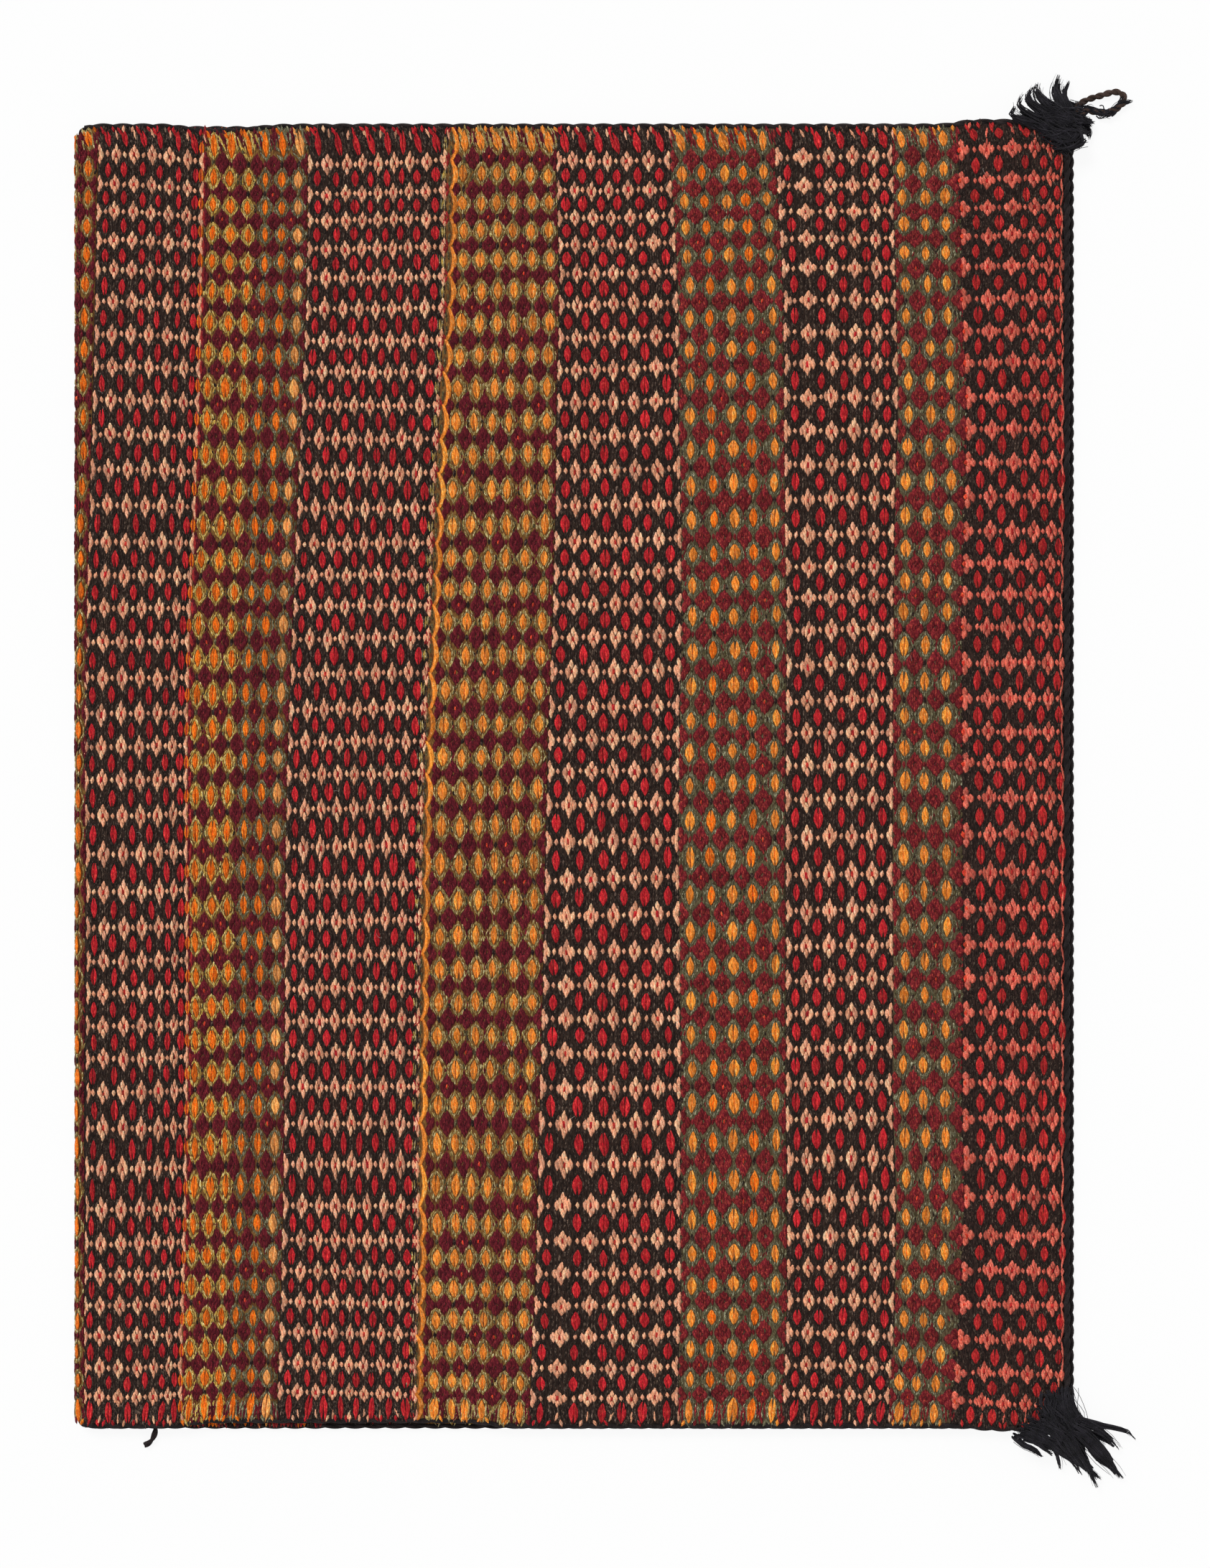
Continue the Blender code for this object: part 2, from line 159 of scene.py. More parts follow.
# Band, then its yarns, then its lens columns: places in millimetres of reach at the near side, the middle
# and the far side, and how wide its lenses are
BANDS = (
    ("black_band_1", "red", "black", "charcoal", "salmon", (
        (3.5, 6.0, 14.3, 0.84), (15.6, 18.8, 25.5, 0.88), (28.0, 31.2, 37.8, 0.92), (39.6, 42.6, 48.9, 0.80),
        (50.1, 53.8, 61.5, 0.78), (58.6, 63.2, 72.6, 0.86))),
    ("gold_band_2", "orange", "olive", "green", "wine", (
        (68.3, 72.7, 84.8, 0.8), (78.1, 83.7, 96.5, 1.0), (88.2, 94.0, 108.5, 0.75),
        (96.8, 105.0, 119.1, 0.8, "sage"), (108.0, 115.6, 130.2, 0.92, "sage"),
        (118.8, 126.5, 141.1, 1.15, "sage", "apricot"))),
    ("black_band_3", "red", "black", "charcoal", "salmon", (
        (132.4, 137.8, 153.4, 0.90), (144.9, 149.5, 166.6, 0.90), (155.6, 159.4, 178.6, 1.08),
        (166.7, 170.5, 188.2, 0.86), (176.1, 180.9, 198.7, 0.94), (186.3, 191.9, 207.9, 0.86),
        (196.7, 203.0, 218.2, 0.98), (208.0, 214.0, 230.2, 1.08))),
    ("gold_band_4", "amber", "moss", "green", "wine", (
        (226.3, 232.9, 248.3, 1.19), (237.4, 245.2, 259.1, 1.09), (246.3, 257.6, 269.3, 1.03),
        (257.0, 268.6, 279.6, 0.93), (271.1, 281.5, 291.4, 1.03), (281.4, 293.8, 302.1, 1.09))),
    ("black_band_5", "red", "black", "charcoal", "salmon", (
        (295.1, 307.5, 312.8, 1.16), (316.9, 322.2, 323.8, 1.22), (335.1, 336.6, 335.2, 1.22),
        (347.7, 350.2, 345.8, 1.16), (361.4, 364.7, 359.2, 1.27), (377.6, 379.1, 374.2, 1.16))),
    ("green_band_6", "amber", "sage", "green", "maroon", (
        (392.0, 393.6, 387.8, 1.17), (405.0, 407.3, 401.1, 1.11, "sage", "orange"),
        (419.1, 421.0, 415.3, 1.33), (432.1, 433.7, 427.5, 1.17, "sage", "orange"),
        (445.5, 448.0, 440.7, 1.06))),
    ("black_band_7", "red", "black", "charcoal", "salmon", (
        (460.4, 461.4, 456.5, 1.03), (473.9, 475.5, 476.7, 1.14), (490.0, 490.3, 491.0, 1.09),
        (503.6, 504.3, 506.3, 1.09), (516.8, 517.3, 519.3, 1.14))),
    ("maroon_band_8", "amber", "sage", "green", "maroon", (
        (528.3, 531.8, 530.2, 1.23), (539.7, 545.4, 544.7, 1.11), (551.5, 559.8, 557.4, 1.17))),
    ("coral_band_9", "brick", "black", "black", "coral", (
        (576.6, 580.7, 577.8, 1.12), (591.3, 593.7, 593.9, 1.22), (607.0, 608.2, 611.4, 1.06),
        (620.6, 621.0, 623.0, 1.16), (632.4, 632.8, 631.8, 0.94))),
)
ZIGZAG_PLACES = (214.6, 221.6, 239.6)
# Lens columns of the band that turns round the fold, along its outer face, and the one next to the lower layer
FOLD_COLUMNS = ((-12.4, -12.4, -7.2), (-4.1, -4.1, 2.6))
FOLD_COLUMNS_BELOW = ((-1.9, -1.9, -7.0),)
# The lens column next to the fold on the inner faces, where the blanket opens
INNER_COLUMN = Column((-3.0, -1.0, 6.6), "fold_band", "red", "black", "charcoal", "salmon", 0.8)
# Floats lie further out round the bend than the middle of the cloth, so their reach there is taken back by this share
BEND_SHARE = MID_RADIUS / (MID_RADIUS + 0.002)
# Where the fold's slab is bent, in degrees round the bend
FOLD_TURNS = (-75, -60, -45, -30, -15, -6, -2.4, -1.2, -0.4, 0.4, 1.2, 2.4, 6, 15, 30, 45, 60, 75)

# The bands with more room between them, where the zigzag runs
WIDE_GAP = {"black_band_3", "gold_band_4"}
# Borders of the bands, from the fold's band to the end, in millimetres of reach like the columns
BORDERS = (
    (0.4, 0.8, 8.4), (61.6, 66.1, 76.8), (125.6, 132.2, 147.3), (213.4, 219.7, 235.5), (288.2, 300.6, 307.4),
    (384.8, 386.4, 381.0), (452.9, 454.7, 448.6), (522.5, 524.5, 524.8), (563.6, 569.3, 566.8), (634.0, 634.0, 634.0),
)
LAYERS = (("upper", 1, "upper_panel"), ("lower", -1, "root"))
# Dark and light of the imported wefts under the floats
GROUNDS = {
    "black": ((26, 17, 14), (64, 48, 40)),
    "gold": ((84, 48, 26), (150, 112, 58)),
    "green": ((62, 50, 34), (120, 110, 80)),
    "maroon": ((64, 48, 34), (116, 104, 76)),
    "coral": ((26, 17, 15), (66, 48, 42)),
}
# Ring strands: place aside of the lens as a share of its half width, more of it in metres, and a share of the gap to
# the next ring; place along the lens as a share of its length, lean in radians, and length
RING_STRANDS = ((0.96, 0.0004, 0.0, 0.15, 0.12, 0.0056), (0.40, 0.0005, 0.0, 0.45, 0.38, 0.0054))
OUTER_STRANDS = ((1.0, 0.0012, 0.3, 0.13, 0.26, 0.0052), (0.62, 0.0010, 0.0, 0.43, 0.44, 0.0052))
RING_ROOM = 0.0013
# Half the distance to the next column: the most beside a gold band, and where there is no next one
WIDEST_HALF_PITCH, LAST_HALF_PITCH = 0.0072, 0.0056
# The edge lenses: row, where the outer end lies across, and how far the inner end lies from the next flowers
EDGE_LENSES = ((0, -0.4204, -0.0024), (-1, 0.4190, 0.0042))
EDGE_TURNS, EDGE_LAP = 0.4150, 0.4196
# How deep floats are rooted in the ground, how far past the side edges and the end they may start, and how far from
# the bend they start on the inner faces
ROOT_DEPTH = 0.0002
PAST_SIDE, PAST_END, OFF_BEND = 0.0024, 0.0002, 0.0008
# Float shapes: name, stations, section, bow and share of the map, as float_template takes them
RIDGE = ((-0.5, 0.0), (0.0, 1.0), (0.5, 0.0))
ROUND_TOP = ((-0.5, 0.0), (-0.24, 0.86), (0.24, 0.86), (0.5, 0.0))
FLOAT_SHAPES = (
    ("short_float", ((-0.22, 0.92, 0.92), (0.22, 0.92, 0.92)), RIDGE),
    ("petal_float", ((-0.32, 0.62, 0.72), (-0.1, 1.0, 1.0), (0.12, 1.0, 1.0), (0.34, 0.58, 0.7)), RIDGE),
    ("lens_float", ((-0.36, 0.44, 0.60), (-0.12, 0.94, 0.97), (0.12, 0.94, 0.97), (0.36, 0.44, 0.60)), ROUND_TOP,
     0.38, 0.92),
    ("plain_float", ((0.0, 1.0, 1.0),), RIDGE),
    ("wave_float", ((-0.42, 0.72, 0.85), (-0.22, 0.95, 1.0), (0.0, 1.05, 1.0), (0.22, 0.95, 1.0),
                    (0.42, 0.72, 0.85)), ROUND_TOP, 1.0),
)
SHORT, PETAL, LENS_YARN, PLAIN, WAVE = range(len(FLOAT_SHAPES))
# Bodies of packed wefts: rows across, rows along, how far they stand past the edges and lap over their borders
SLAB_ROWS, SLAB_STEPS = 60, 8
SLAB_RIM, SLAB_LAP = 0.0016, 0.0006
# Faces of the fold's slab nearer than this to the middle height lie in the flat seam of the opened fold
SEAM_HALF = 0.0005
# Warps: how many, how far they reach across, how thick they are, how much thinner in the seam, and over what reach
WARP_COUNT, WARP_EDGE = 120, 0.4155
WARP_THICK, WARP_THINNED, WARP_SEAM = 0.0015, 0.0012, 0.0009
LOOP_CORD = 0.0045
# The loose end of the near side cord, in pixels of the picture and metres of height
TAIL_ROUTE = (
    (215.0, 1984.0, 0.0030), (214.8, 1992.0, 0.0027), (213.4, 2000.0, 0.0024), (209.6, 2008.0, 0.0022),
    (204.4, 2013.4, 0.0021), (199.0, 2015.6, 0.0020))
# Where the picture shows single loose fibres, in its pixels
FIBRE_COUNT, FIBRE_POINTS, FIBRE_THICK = 26, 7, 0.00022
FIBRE_SPOTS = ((835, 1234), (999, 1292), (1417, 1682), (1270, 922), (150, 285))
# The corner loop from the middle of the lower far tassel, in millimetres
LOOP_ROUTE = (
    (-1.5, 5.0), (-2.2, 9.4), (0.8, 13.2), (7.4, 16.2), (13.9, 18.0), (19.5, 19.8), (24.1, 20.2), (27.8, 18.4),
    (28.8, 14.8), (26.0, 11.0), (21.3, 8.2), (15.7, 6.6), (10.1, 7.2), (5.2, 8.2), (1.6, 6.6), (0.4, 3.2),
)
TASSEL_CENTRES = {
    "upper_far_tassel": (0.304882, 0.4316), "upper_near_tassel": (0.304882, -0.423719),
    "lower_far_tassel": (0.307882, 0.4286), "lower_near_tassel": (0.307882, -0.426719),
}
# Locks of each tassel: how many strands, how far they spread and the way they follow, in pixels of the picture
TASSEL_LOCKS = {
    "upper_far_tassel": (
        (36, 16, (1496, 182), (1464, 154), (1445, 130), (1447, 112)),
        (30, 14, (1490, 184), (1454, 160), (1430, 138), (1441, 117)),
        (26, 12, (1486, 186), (1446, 168), (1418, 150), (1425, 131)),
        (22, 10, (1480, 190), (1440, 176), (1409, 163), (1414, 149)),
        (46, 14, (1496, 178), (1479, 148), (1471, 124), (1477, 102)),
        (22, 8, (1498, 176), (1487, 148), (1483, 128), (1491, 110)), (60, 40, (1502, 188), (1474, 178), (1434, 164)),
        (60, 34, (1502, 176), (1476, 162), (1446, 146)), (50, 28, (1506, 182), (1484, 192), (1446, 188)),
        (34, 16, (1508, 188), (1488, 201), (1462, 205)), (26, 10, (1488, 164), (1508, 168), (1527, 168)),
        (22, 10, (1490, 172), (1508, 181), (1519, 180)), (18, 8, (1490, 180), (1504, 190), (1503, 200)),
        (26, 10, (1448, 172), (1426, 166), (1407, 162)),
    ),
    "upper_near_tassel": (
        (16, 5, (1490, 1975), (1516, 1981), (1536, 1986), (1558, 1992), (1572, 1996), (1583, 2008)),
        (20, 8, (1492, 1974), (1514, 1983), (1532, 1992), (1548, 2008), (1562, 2024)),
        (30, 9, (1486, 1980), (1512, 1996), (1534, 2020), (1552, 2044), (1566, 2064)),
        (26, 10, (1484, 1986), (1510, 2010), (1532, 2034), (1548, 2048), (1560, 2062)),
        (24, 10, (1478, 1988), (1498, 2018), (1514, 2040), (1530, 2074)),
        (24, 10, (1474, 1988), (1490, 2016), (1510, 2040), (1536, 2064)),
        (20, 9, (1462, 1988), (1478, 2014), (1500, 2034), (1516, 2050)),
        (16, 7, (1450, 1988), (1466, 2010), (1479, 2050)),
        (22, 8, (1440, 1990), (1462, 2012), (1492, 2034), (1508, 2058)),
        (16, 6, (1406, 1996), (1424, 2012), (1440, 2020), (1453, 2032)),
        (14, 5, (1424, 1996), (1450, 2014), (1468, 2030)), (54, 34, (1466, 1938), (1486, 1974), (1512, 2022)),
        (60, 40, (1450, 1954), (1474, 1984), (1508, 2030)), (44, 30, (1440, 1976), (1462, 1990), (1500, 2022)),
        (36, 8, (1478, 1932), (1489, 1953), (1501, 1973), (1518, 1990)),
        (44, 26, (1476, 1930), (1486, 1964), (1512, 2002)), (34, 20, (1420, 1986), (1448, 1996), (1484, 2018)),
        (30, 16, (1412, 1990), (1446, 2004), (1488, 2022)), (30, 20, (1460, 1936), (1462, 1960), (1470, 1990)),
    ),
    "lower_far_tassel": (
        (20, 10, (1500, 172), (1512, 166), (1524, 176)), (16, 8, (1500, 166), (1516, 178), (1518, 192)),
        (20, 12, (1504, 166), (1496, 148), (1484, 136)), (18, 10, (1506, 162), (1506, 150), (1500, 138)),
        (12, 4, (1554, 149), (1562, 144), (1570, 140), (1580, 138)), (8, 3, (1548, 150), (1554, 155), (1557, 152)),
        (34, 7, (1506, 158), (1516, 149), (1528, 152), (1540, 156), (1552, 152)),
        (26, 8, (1538, 157), (1552, 151), (1562, 142), (1567, 130)), (18, 12, (1506, 152), (1515, 148), (1524, 150)),
        (18, 12, (1530, 152), (1540, 155), (1548, 154)),
    ),
    "lower_near_tassel": (
        (26, 12, (1500, 1996), (1526, 2012), (1540, 2040)), (20, 10, (1498, 1998), (1510, 2024), (1516, 2048)),
        (16, 8, (1496, 1998), (1494, 2020), (1500, 2042)), (16, 8, (1504, 1994), (1530, 2002), (1552, 2016)),
    ),
}
# Least height of a tassel's strands at its root and how much more there may be. Strands that come to lie over the
# cloth's corner, which ends this far along X and off the middle along Y, stay above it
TASSEL_TOPS = {"upper": (0.0112, 0.0034), "lower": (0.0016, 0.0022)}
OVER_CORNER = 0.0111
CORNER_X, CORNER_Y = 0.3024, 0.4285
SWING_TURNS = np.radians(np.arange(-30, 31, 10))
HEARTS = {"salmon": "madder", "coral": "brick"}

# Yarns: what each is, its colour and the colour of its flecks, as displayed values from 0 to 255
YARNS = {
    "black": ("rings of the black bands", (34, 23, 20), (112, 92, 80)),
    "charcoal": ("heathered grounds between the black rings", (46, 35, 30), (134, 112, 97)),
    "red": ("lenses of the black bands", (182, 29, 40), (220, 72, 64)),
    "salmon": ("flowers of the black bands", (242, 165, 127), (254, 208, 173)),
    "madder": ("hearts of the salmon flowers", (178, 40, 38), (216, 84, 66)),
    "wine": ("flowers of the gold bands", (90, 22, 33), (136, 46, 50)),
    "maroon": ("flowers of the green bands", (110, 26, 35), (176, 72, 58)),
    "rust": ("strip beside the first gold band", (152, 38, 42), (200, 70, 60)),
    "orange": ("deep lenses", (238, 108, 18), (255, 156, 66)),
    "amber": ("light lenses", (238, 134, 44), (252, 178, 100)),
    "apricot": ("widest lenses", (236, 152, 78), (246, 184, 120)),
    "olive": ("rings of the first gold band", (200, 164, 74), (255, 236, 176)),
    "moss": ("rings of the second gold band and the fold", (160, 136, 76), (248, 228, 180)),
    "sage": ("rings of the green bands", (102, 98, 72), (198, 194, 162)),
    "green": ("grounds of the gold and green bands", (76, 66, 42), (142, 134, 98)),
    "coral": ("flowers of the last band", (216, 98, 80), (242, 146, 122)),
    "brick": ("lenses of the last band", (172, 34, 38), (210, 72, 60)),
    "spark": ("bright specks in flowers", (222, 58, 46), (240, 120, 66)),
}
YARN_NAMES = tuple(YARNS)
# How light a float may be, as shares of its yarn's colour
TONES = (0.72, 0.80, 0.87, 0.92, 0.96, 1.0, 1.03, 1.07, 1.12, 1.18, 1.26, 1.36)
# The baking map has a swatch for each yarn in each tone, this many to a side
SWATCH_SIDE = 16
COLOUR_ATTRIBUTES = ("yarn_colour", "fleck_colour")
ATTRIBUTE_KINDS = {
    "FLOAT": ("value", np.float32), "INT": ("value", np.int32), "FLOAT_VECTOR": ("vector", np.float32),
    "FLOAT_COLOR": ("color", np.float32),
}
WHITE = (1.0, 1.0, 1.0, 1.0)
UPWARDS = (0.0, 0.0, 1.0)


def linear(shown):
    """A displayed colour from 0 to 255 as linear light."""
    return tuple(((c / 255 + 0.055) / 1.055) ** 2.4 if c > 10 else c / 255 / 12.92 for c in shown)


def colour_property(name, description, shown):
    return bpy.props.FloatVectorProperty(
        name=name, description=description, subtype="COLOR", size=3, min=0.0, max=1.0, default=linear(shown))


def length_property(name, description, default):
    return bpy.props.FloatProperty(
        name=name, description=description, unit="LENGTH", subtype="DISTANCE", default=default, precision=5)


def number_property(name, description, default):
    return bpy.props.FloatProperty(name=name, description=description, default=default)


class BlanketYarns(bpy.types.PropertyGroup):
    """Colours of the yarns and of their flecks"""

    __annotations__ = {
        key: value
        for name, (use, shown, fleck) in YARNS.items()
        for key, value in (
            (name, colour_property(name.capitalize(), f"Yarn of the {use}", shown)),
            (f"{name}_fleck", colour_property(f"{name.capitalize()} flecks", f"Flecks in the {use}", fleck)),
        )
    }
    cord: colour_property("Cord", "Black wool of the selvage cords", (32, 26, 26))
    tassel: colour_property("Tassel", "Black wool of the tassels", (24, 22, 27))
    loop: colour_property("Loop", "Brown-black wool of the corner loop", (62, 48, 42))
    warp: colour_property("Warp", "Undyed wool of the warps", (196, 184, 160))


class BlanketWeave(bpy.types.PropertyGroup):
    """Sizes of the weave"""

    ground: length_property("Ground thickness", "Thickness of the packed wefts under the floats", 0.0031)
    lens_width: length_property("Lens width", "Width of a lens over its two yarns", 0.0051)
    lens_length: length_property("Lens length", "Length of a lens", 0.0124)
    float_width: length_property("Float width", "Width of a short float", 0.0021)
    rise: length_property("Rise", "How far the highest floats stand above their root", 0.00118)
    slant: bpy.props.FloatProperty(
        name="Slant", description="How far a float may lean at random", subtype="ANGLE", default=math.radians(5))
    seed: bpy.props.IntProperty(name="Seed", description="Start of everything random", default=7)


class BlanketCords(bpy.types.PropertyGroup):
    """Sizes of the cords and tassels"""

    twist: length_property("Twist", "Length of one turn of a side cord", 0.026)
    end_twist: length_property("End twist", "Length of one turn of an end cord", 0.016)
    ply_share: number_property("Ply share", "Width of a ply as a share of the cord's", 0.60)
    loop_twist: length_property("Loop twist", "Length of one turn of the corner loop", 0.011)
    strand: length_property("Strand", "Thickness of a tassel's strand", 0.0011)


class BlanketStage(bpy.types.PropertyGroup):
    """Camera, lamps and floor"""

    distance: length_property("Camera height", "Height of the camera over the cloth", 2.6)
    pixel: length_property("Pixel", "Size of one pixel of the picture on the cloth", 0.0004655)
    world: number_property("Surrounding light", "Strength of the light from all sides", 0.52)
    sun: number_property("Lamp", "Strength of the soft main lamp", 1.75)
    floor: colour_property("Floor", "Plain pale floor", (250, 250, 250))


# Small helpers


def settings(name):
    return getattr(bpy.context.scene, f"blanket_{name}")


def add_object(name, data):
    thing = bpy.data.objects.new(name, data)
    bpy.context.scene.collection.objects.link(thing)
    return thing


def mesh_object(name, points, faces, material=None, smooth=True):
    mesh = bpy.data.meshes.new(name)
    mesh.from_pydata([tuple(p) for p in points], [], faces)
    mesh.update()
    if smooth:
        mesh.shade_smooth()
    if material:
        mesh.materials.append(material)
    return add_object(name, mesh)


def face_out(mesh):
    """Turns the faces of closed bodies outwards."""
    shape = bmesh.new()
    shape.from_mesh(mesh)
    bmesh.ops.recalc_face_normals(shape, faces=shape.faces)
    shape.to_mesh(mesh)
    shape.free()
    mesh.update()


def set_attribute(mesh, name, kind, values):
    field, dtype = ATTRIBUTE_KINDS[kind]
    attribute = mesh.attributes.new(name, kind, "POINT")
    attribute.data.foreach_set(field, np.ascontiguousarray(values, dtype).ravel())


def read_attribute(mesh, name, kind):
    field, dtype = ATTRIBUTE_KINDS[kind]
    values = np.zeros(len(mesh.vertices), dtype)
    mesh.attributes[name].data.foreach_get(field, values)
    return values


def hand_over(piece, body, slot, *nodes):
    """Says what a finished piece rides on and the solids it stands for; its slot is not used.

    Without a body, the piece belongs to the fold, and its transform is baked into its mesh.
    """
    if body:
        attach(piece, body)
    else:
        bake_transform(piece)
    if nodes:
        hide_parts(*nodes)


class Graph:
    """A node tree in the making. Inputs may be plain values, sockets, or nodes, whose first output is meant."""

    def __init__(self, tree):
        self.tree = tree

    def feed(self, socket, value):
        if isinstance(value, bpy.types.Node):
            value = value.outputs[0]
        if isinstance(value, bpy.types.NodeSocket):
            self.tree.links.new(value, socket)
        else:
            socket.default_value = value

    def add(self, kind, *given, **named):
        """A node with its inputs in order, then its settings and the inputs known by name or by number."""
        count = len(self.tree.nodes)
        node = self.tree.nodes.new(kind)
        node.location = (200 * (count % 10) - 2400, 900 - 260 * (count // 10))
        inputs = dict(enumerate(given))
        for key, value in named.items():
            if hasattr(node, key):
                setattr(node, key, value)
            else:
                inputs[int(key[3:]) if key.startswith("in_") else key.replace("_", " ")] = value
        for key, value in inputs.items():
            self.feed(node.inputs[key], value)
        return node

    def math(self, operation, *given):
        return self.add("ShaderNodeMath", *given, operation=operation)

    def vector(self, operation, *given, **named):
        return self.add("ShaderNodeVectorMath", *given, operation=operation, **named)

    def noise(self, place, grain, detail=2.0, roughness=0.6):
        """Noise over a place, with the grain given per metre along each axis."""
        stretched = self.vector("MULTIPLY", place, grain)
        return self.add("ShaderNodeTexNoise", stretched, Scale=1.0, Detail=detail, Roughness=roughness)

    def ranged(self, value, low, high, to_low=0.0, to_high=1.0):
        """A value taken from one range to another."""
        return self.add("ShaderNodeMapRange", value, low, high, to_low, to_high)

    def mix(self, share, first, second):
        """A colour between two colours."""
        return self.add("ShaderNodeMix", data_type="RGBA", Factor=share, in_6=first, in_7=second).outputs[2]


# Materials


def new_material(name):
    material = bpy.data.materials.new(name)
    material.use_nodes = True
    return material, Graph(material.node_tree), material.node_tree.nodes["Principled BSDF"].inputs


def new_wool(name, sheen, roughness=0.92):
    """A wool material, with its graph, its shader's inputs and the place it reads."""
    material, graph, shader = new_material(name)
    for key, value in (("Roughness", roughness), ("Specular IOR Level", 0.12), ("Sheen Weight", sheen),
                       ("Sheen Roughness", 0.55)):
        shader[key].default_value = value
    return material, graph, shader, graph.add("ShaderNodeTexCoord").outputs["Object"]


def dress(graph, shader, shade, height, strength, depth):
    """Gives a shader its colour and its relief."""
    graph.feed(shader["Base Color"], shade)
    graph.feed(shader["Normal"], graph.add("ShaderNodeBump", Strength=strength, Distance=depth, Height=height))


def float_material():
    """Wool of the floats. Each float carries its colour and the colour of its flecks, and its own map runs
    across it and along it, so that the painted shade of its plies and of its flanks follows it."""
    material, graph, shader, place = new_wool("woven_wool", 0.03)
    fleck = graph.ranged(graph.noise(place, (1000, 420, 1000), 3.0, 0.75), 0.50, 0.66, 0.0, 0.95)
    # Painted shade in the small pits between fibres, with a lighter grain between them
    painted_pit_shade = graph.ranged(graph.noise(place, (2300, 1300, 2300)), 0.34, 0.62, 0.62, 1.22)
    streaks = graph.noise(place, (950, 290, 950), 3.5, 0.7)
    # Painted shade in the gaps between fibre strands and painted highlights along them
    shade = graph.ranged(streaks, 0.33, 0.67, 0.64, 1.48)
    aside, along, _ = graph.add("ShaderNodeSeparateXYZ", graph.add("ShaderNodeUVMap", uv_map="Yarn")).outputs
    # Painted shade: each float darker towards its flanks, where it curves down beside its neighbours
    painted_flank_shade = graph.ranged(graph.math("ABSOLUTE", graph.math("SUBTRACT", aside, 0.5)), 0.30, 0.5, 1.0, 0.68)
    turns = graph.math("MULTIPLY_ADD", along, 1.4, graph.math("MULTIPLY", aside, 2.0))
    ply = graph.math("SINE", graph.math("MULTIPLY", turns, 2 * math.pi))
    # Painted shade in the grooves between the plies, as dark diagonal stripes
    plies = graph.ranged(ply, -1.0, -0.1, 0.66, 1.0)
    yarn, flecks = (graph.add("ShaderNodeAttribute", attribute_name=name) for name in COLOUR_ATTRIBUTES)
    # dark gathers all the painted shade and highlights that scale the yarn's colour
    dark = graph.math("MULTIPLY", graph.math("MULTIPLY", painted_pit_shade, shade), graph.math("MULTIPLY", painted_flank_shade, plies))
    dress(graph, shader, graph.vector("SCALE", graph.mix(fleck, yarn, flecks), Scale=dark),
          graph.math("MULTIPLY_ADD", ply, 0.25, streaks), 0.7, 0.0005)
    return material


def ground_material(name, dark, light):
    """Packed wefts, seen as fine yarns that run across and catch a little heather."""
    material, graph, shader, place = new_wool(name, 0.04, 0.95)
    noise = graph.noise(place, (1100.0, 260.0, 500.0), 4.0, 0.7)
    mixed = graph.mix(graph.ranged(noise, 0.42, 0.68), (*linear(dark), 1.0), (*linear(light), 1.0))
    dress(graph, shader, mixed, noise, 0.8, 0.0005)
    return material


def cord_material(name, dye, fibre_and_highlight_share=2.2, sheen=0.04):
    """Spun wool of one colour with lighter fibres and painted highlights."""
    material, graph, shader, place = new_wool(name, sheen, 0.9)
    fine = graph.add("ShaderNodeTexNoise", place, Scale=1500.0, Detail=3.0, Roughness=0.7)
    broad = graph.add("ShaderNodeTexNoise", place, Scale=160.0, Detail=2.0)
    # Noise mixes the yarn's darker colour with a lighter one that stands for both lighter fibres and painted
    # highlights on the twist
    mixed = graph.mix(graph.ranged(graph.math("MULTIPLY", fine, broad), 0.18, 0.42),
                      (*(0.72 * c for c in dye), 1.0), (*(min(fibre_and_highlight_share * c + 0.004, 1.0) for c in dye), 1.0))
    dress(graph, shader, mixed, fine, 0.7, 0.0003)
    return material


# Geometry nodes


def node_group(name, sockets):
    """The graph and the input sockets of a geometry node tree with a geometry, these sockets and a material."""
    tree = bpy.data.node_groups.new(name, "GeometryNodeTree")
    for label, kind, default in (("Geometry", "Geometry", None), *sockets, ("Material", "Material", None)):
        socket = tree.interface.new_socket(label, in_out="INPUT", socket_type=f"NodeSocket{kind}")
        if default is not None:
            socket.default_value = default
    tree.interface.new_socket("Geometry", in_out="OUTPUT", socket_type="NodeSocketGeometry")
    graph = Graph(tree)
    return graph, graph.add("NodeGroupInput").outputs


def end_group(graph, source, whole):
    """Ends a node tree in Realize Instances and Set Material."""
    real = graph.add("GeometryNodeRealizeInstances", whole)
    graph.add("NodeGroupOutput", graph.add("GeometryNodeSetMaterial", real, Material=source["Material"]))
    return graph.tree


def float_tree(templates):
    """Geometry nodes that lay a float on every point and make the lot one mesh."""
    shares = ("Width share", "Length share", "Rise share")
    graph, source = node_group("Laid floats", (
        *((name, "Float", 1.0) for name in shares), ("Slant", "Float", 0.08), ("Seed", "Int", 7),
        *((template.name, "Object", None) for template in templates)))

    def named(name, kind="FLOAT_VECTOR"):
        return graph.add("GeometryNodeInputNamedAttribute", name, data_type=kind)

    axes = graph.add("FunctionNodeAxesToRotation", named("outward"), named("lay"), primary_axis="Z",
                     secondary_axis="Y")
    chance = graph.add("FunctionNodeRandomValue", data_type="FLOAT", in_2=-1.0, in_3=1.0, Seed=source["Seed"])
    lean = graph.math("MULTIPLY", chance.outputs[1], source["Slant"])
    about = graph.add("FunctionNodeAxisAngleToRotation", (0.0, 0.0, 1.0), lean)
    turned = graph.add("FunctionNodeRotateRotation", axes, about, rotation_space="LOCAL")
    share = graph.add("ShaderNodeCombineXYZ", *(source[name] for name in shares))
    size = graph.vector("MULTIPLY", named("size"), share)
    shape = named("shape", "INT")
    whole = graph.add("GeometryNodeJoinGeometry")
    for number, template in enumerate(templates):
        own = graph.add("FunctionNodeCompare", data_type="INT", operation="EQUAL", in_2=shape, in_3=number)
        info = graph.add("GeometryNodeObjectInfo", source[template.name])
        graph.feed(whole.inputs[0], graph.add(
            "GeometryNodeInstanceOnPoints", source["Geometry"], own, info.outputs["Geometry"], Rotation=turned,
            Scale=size))
    return end_group(graph, source, whole)


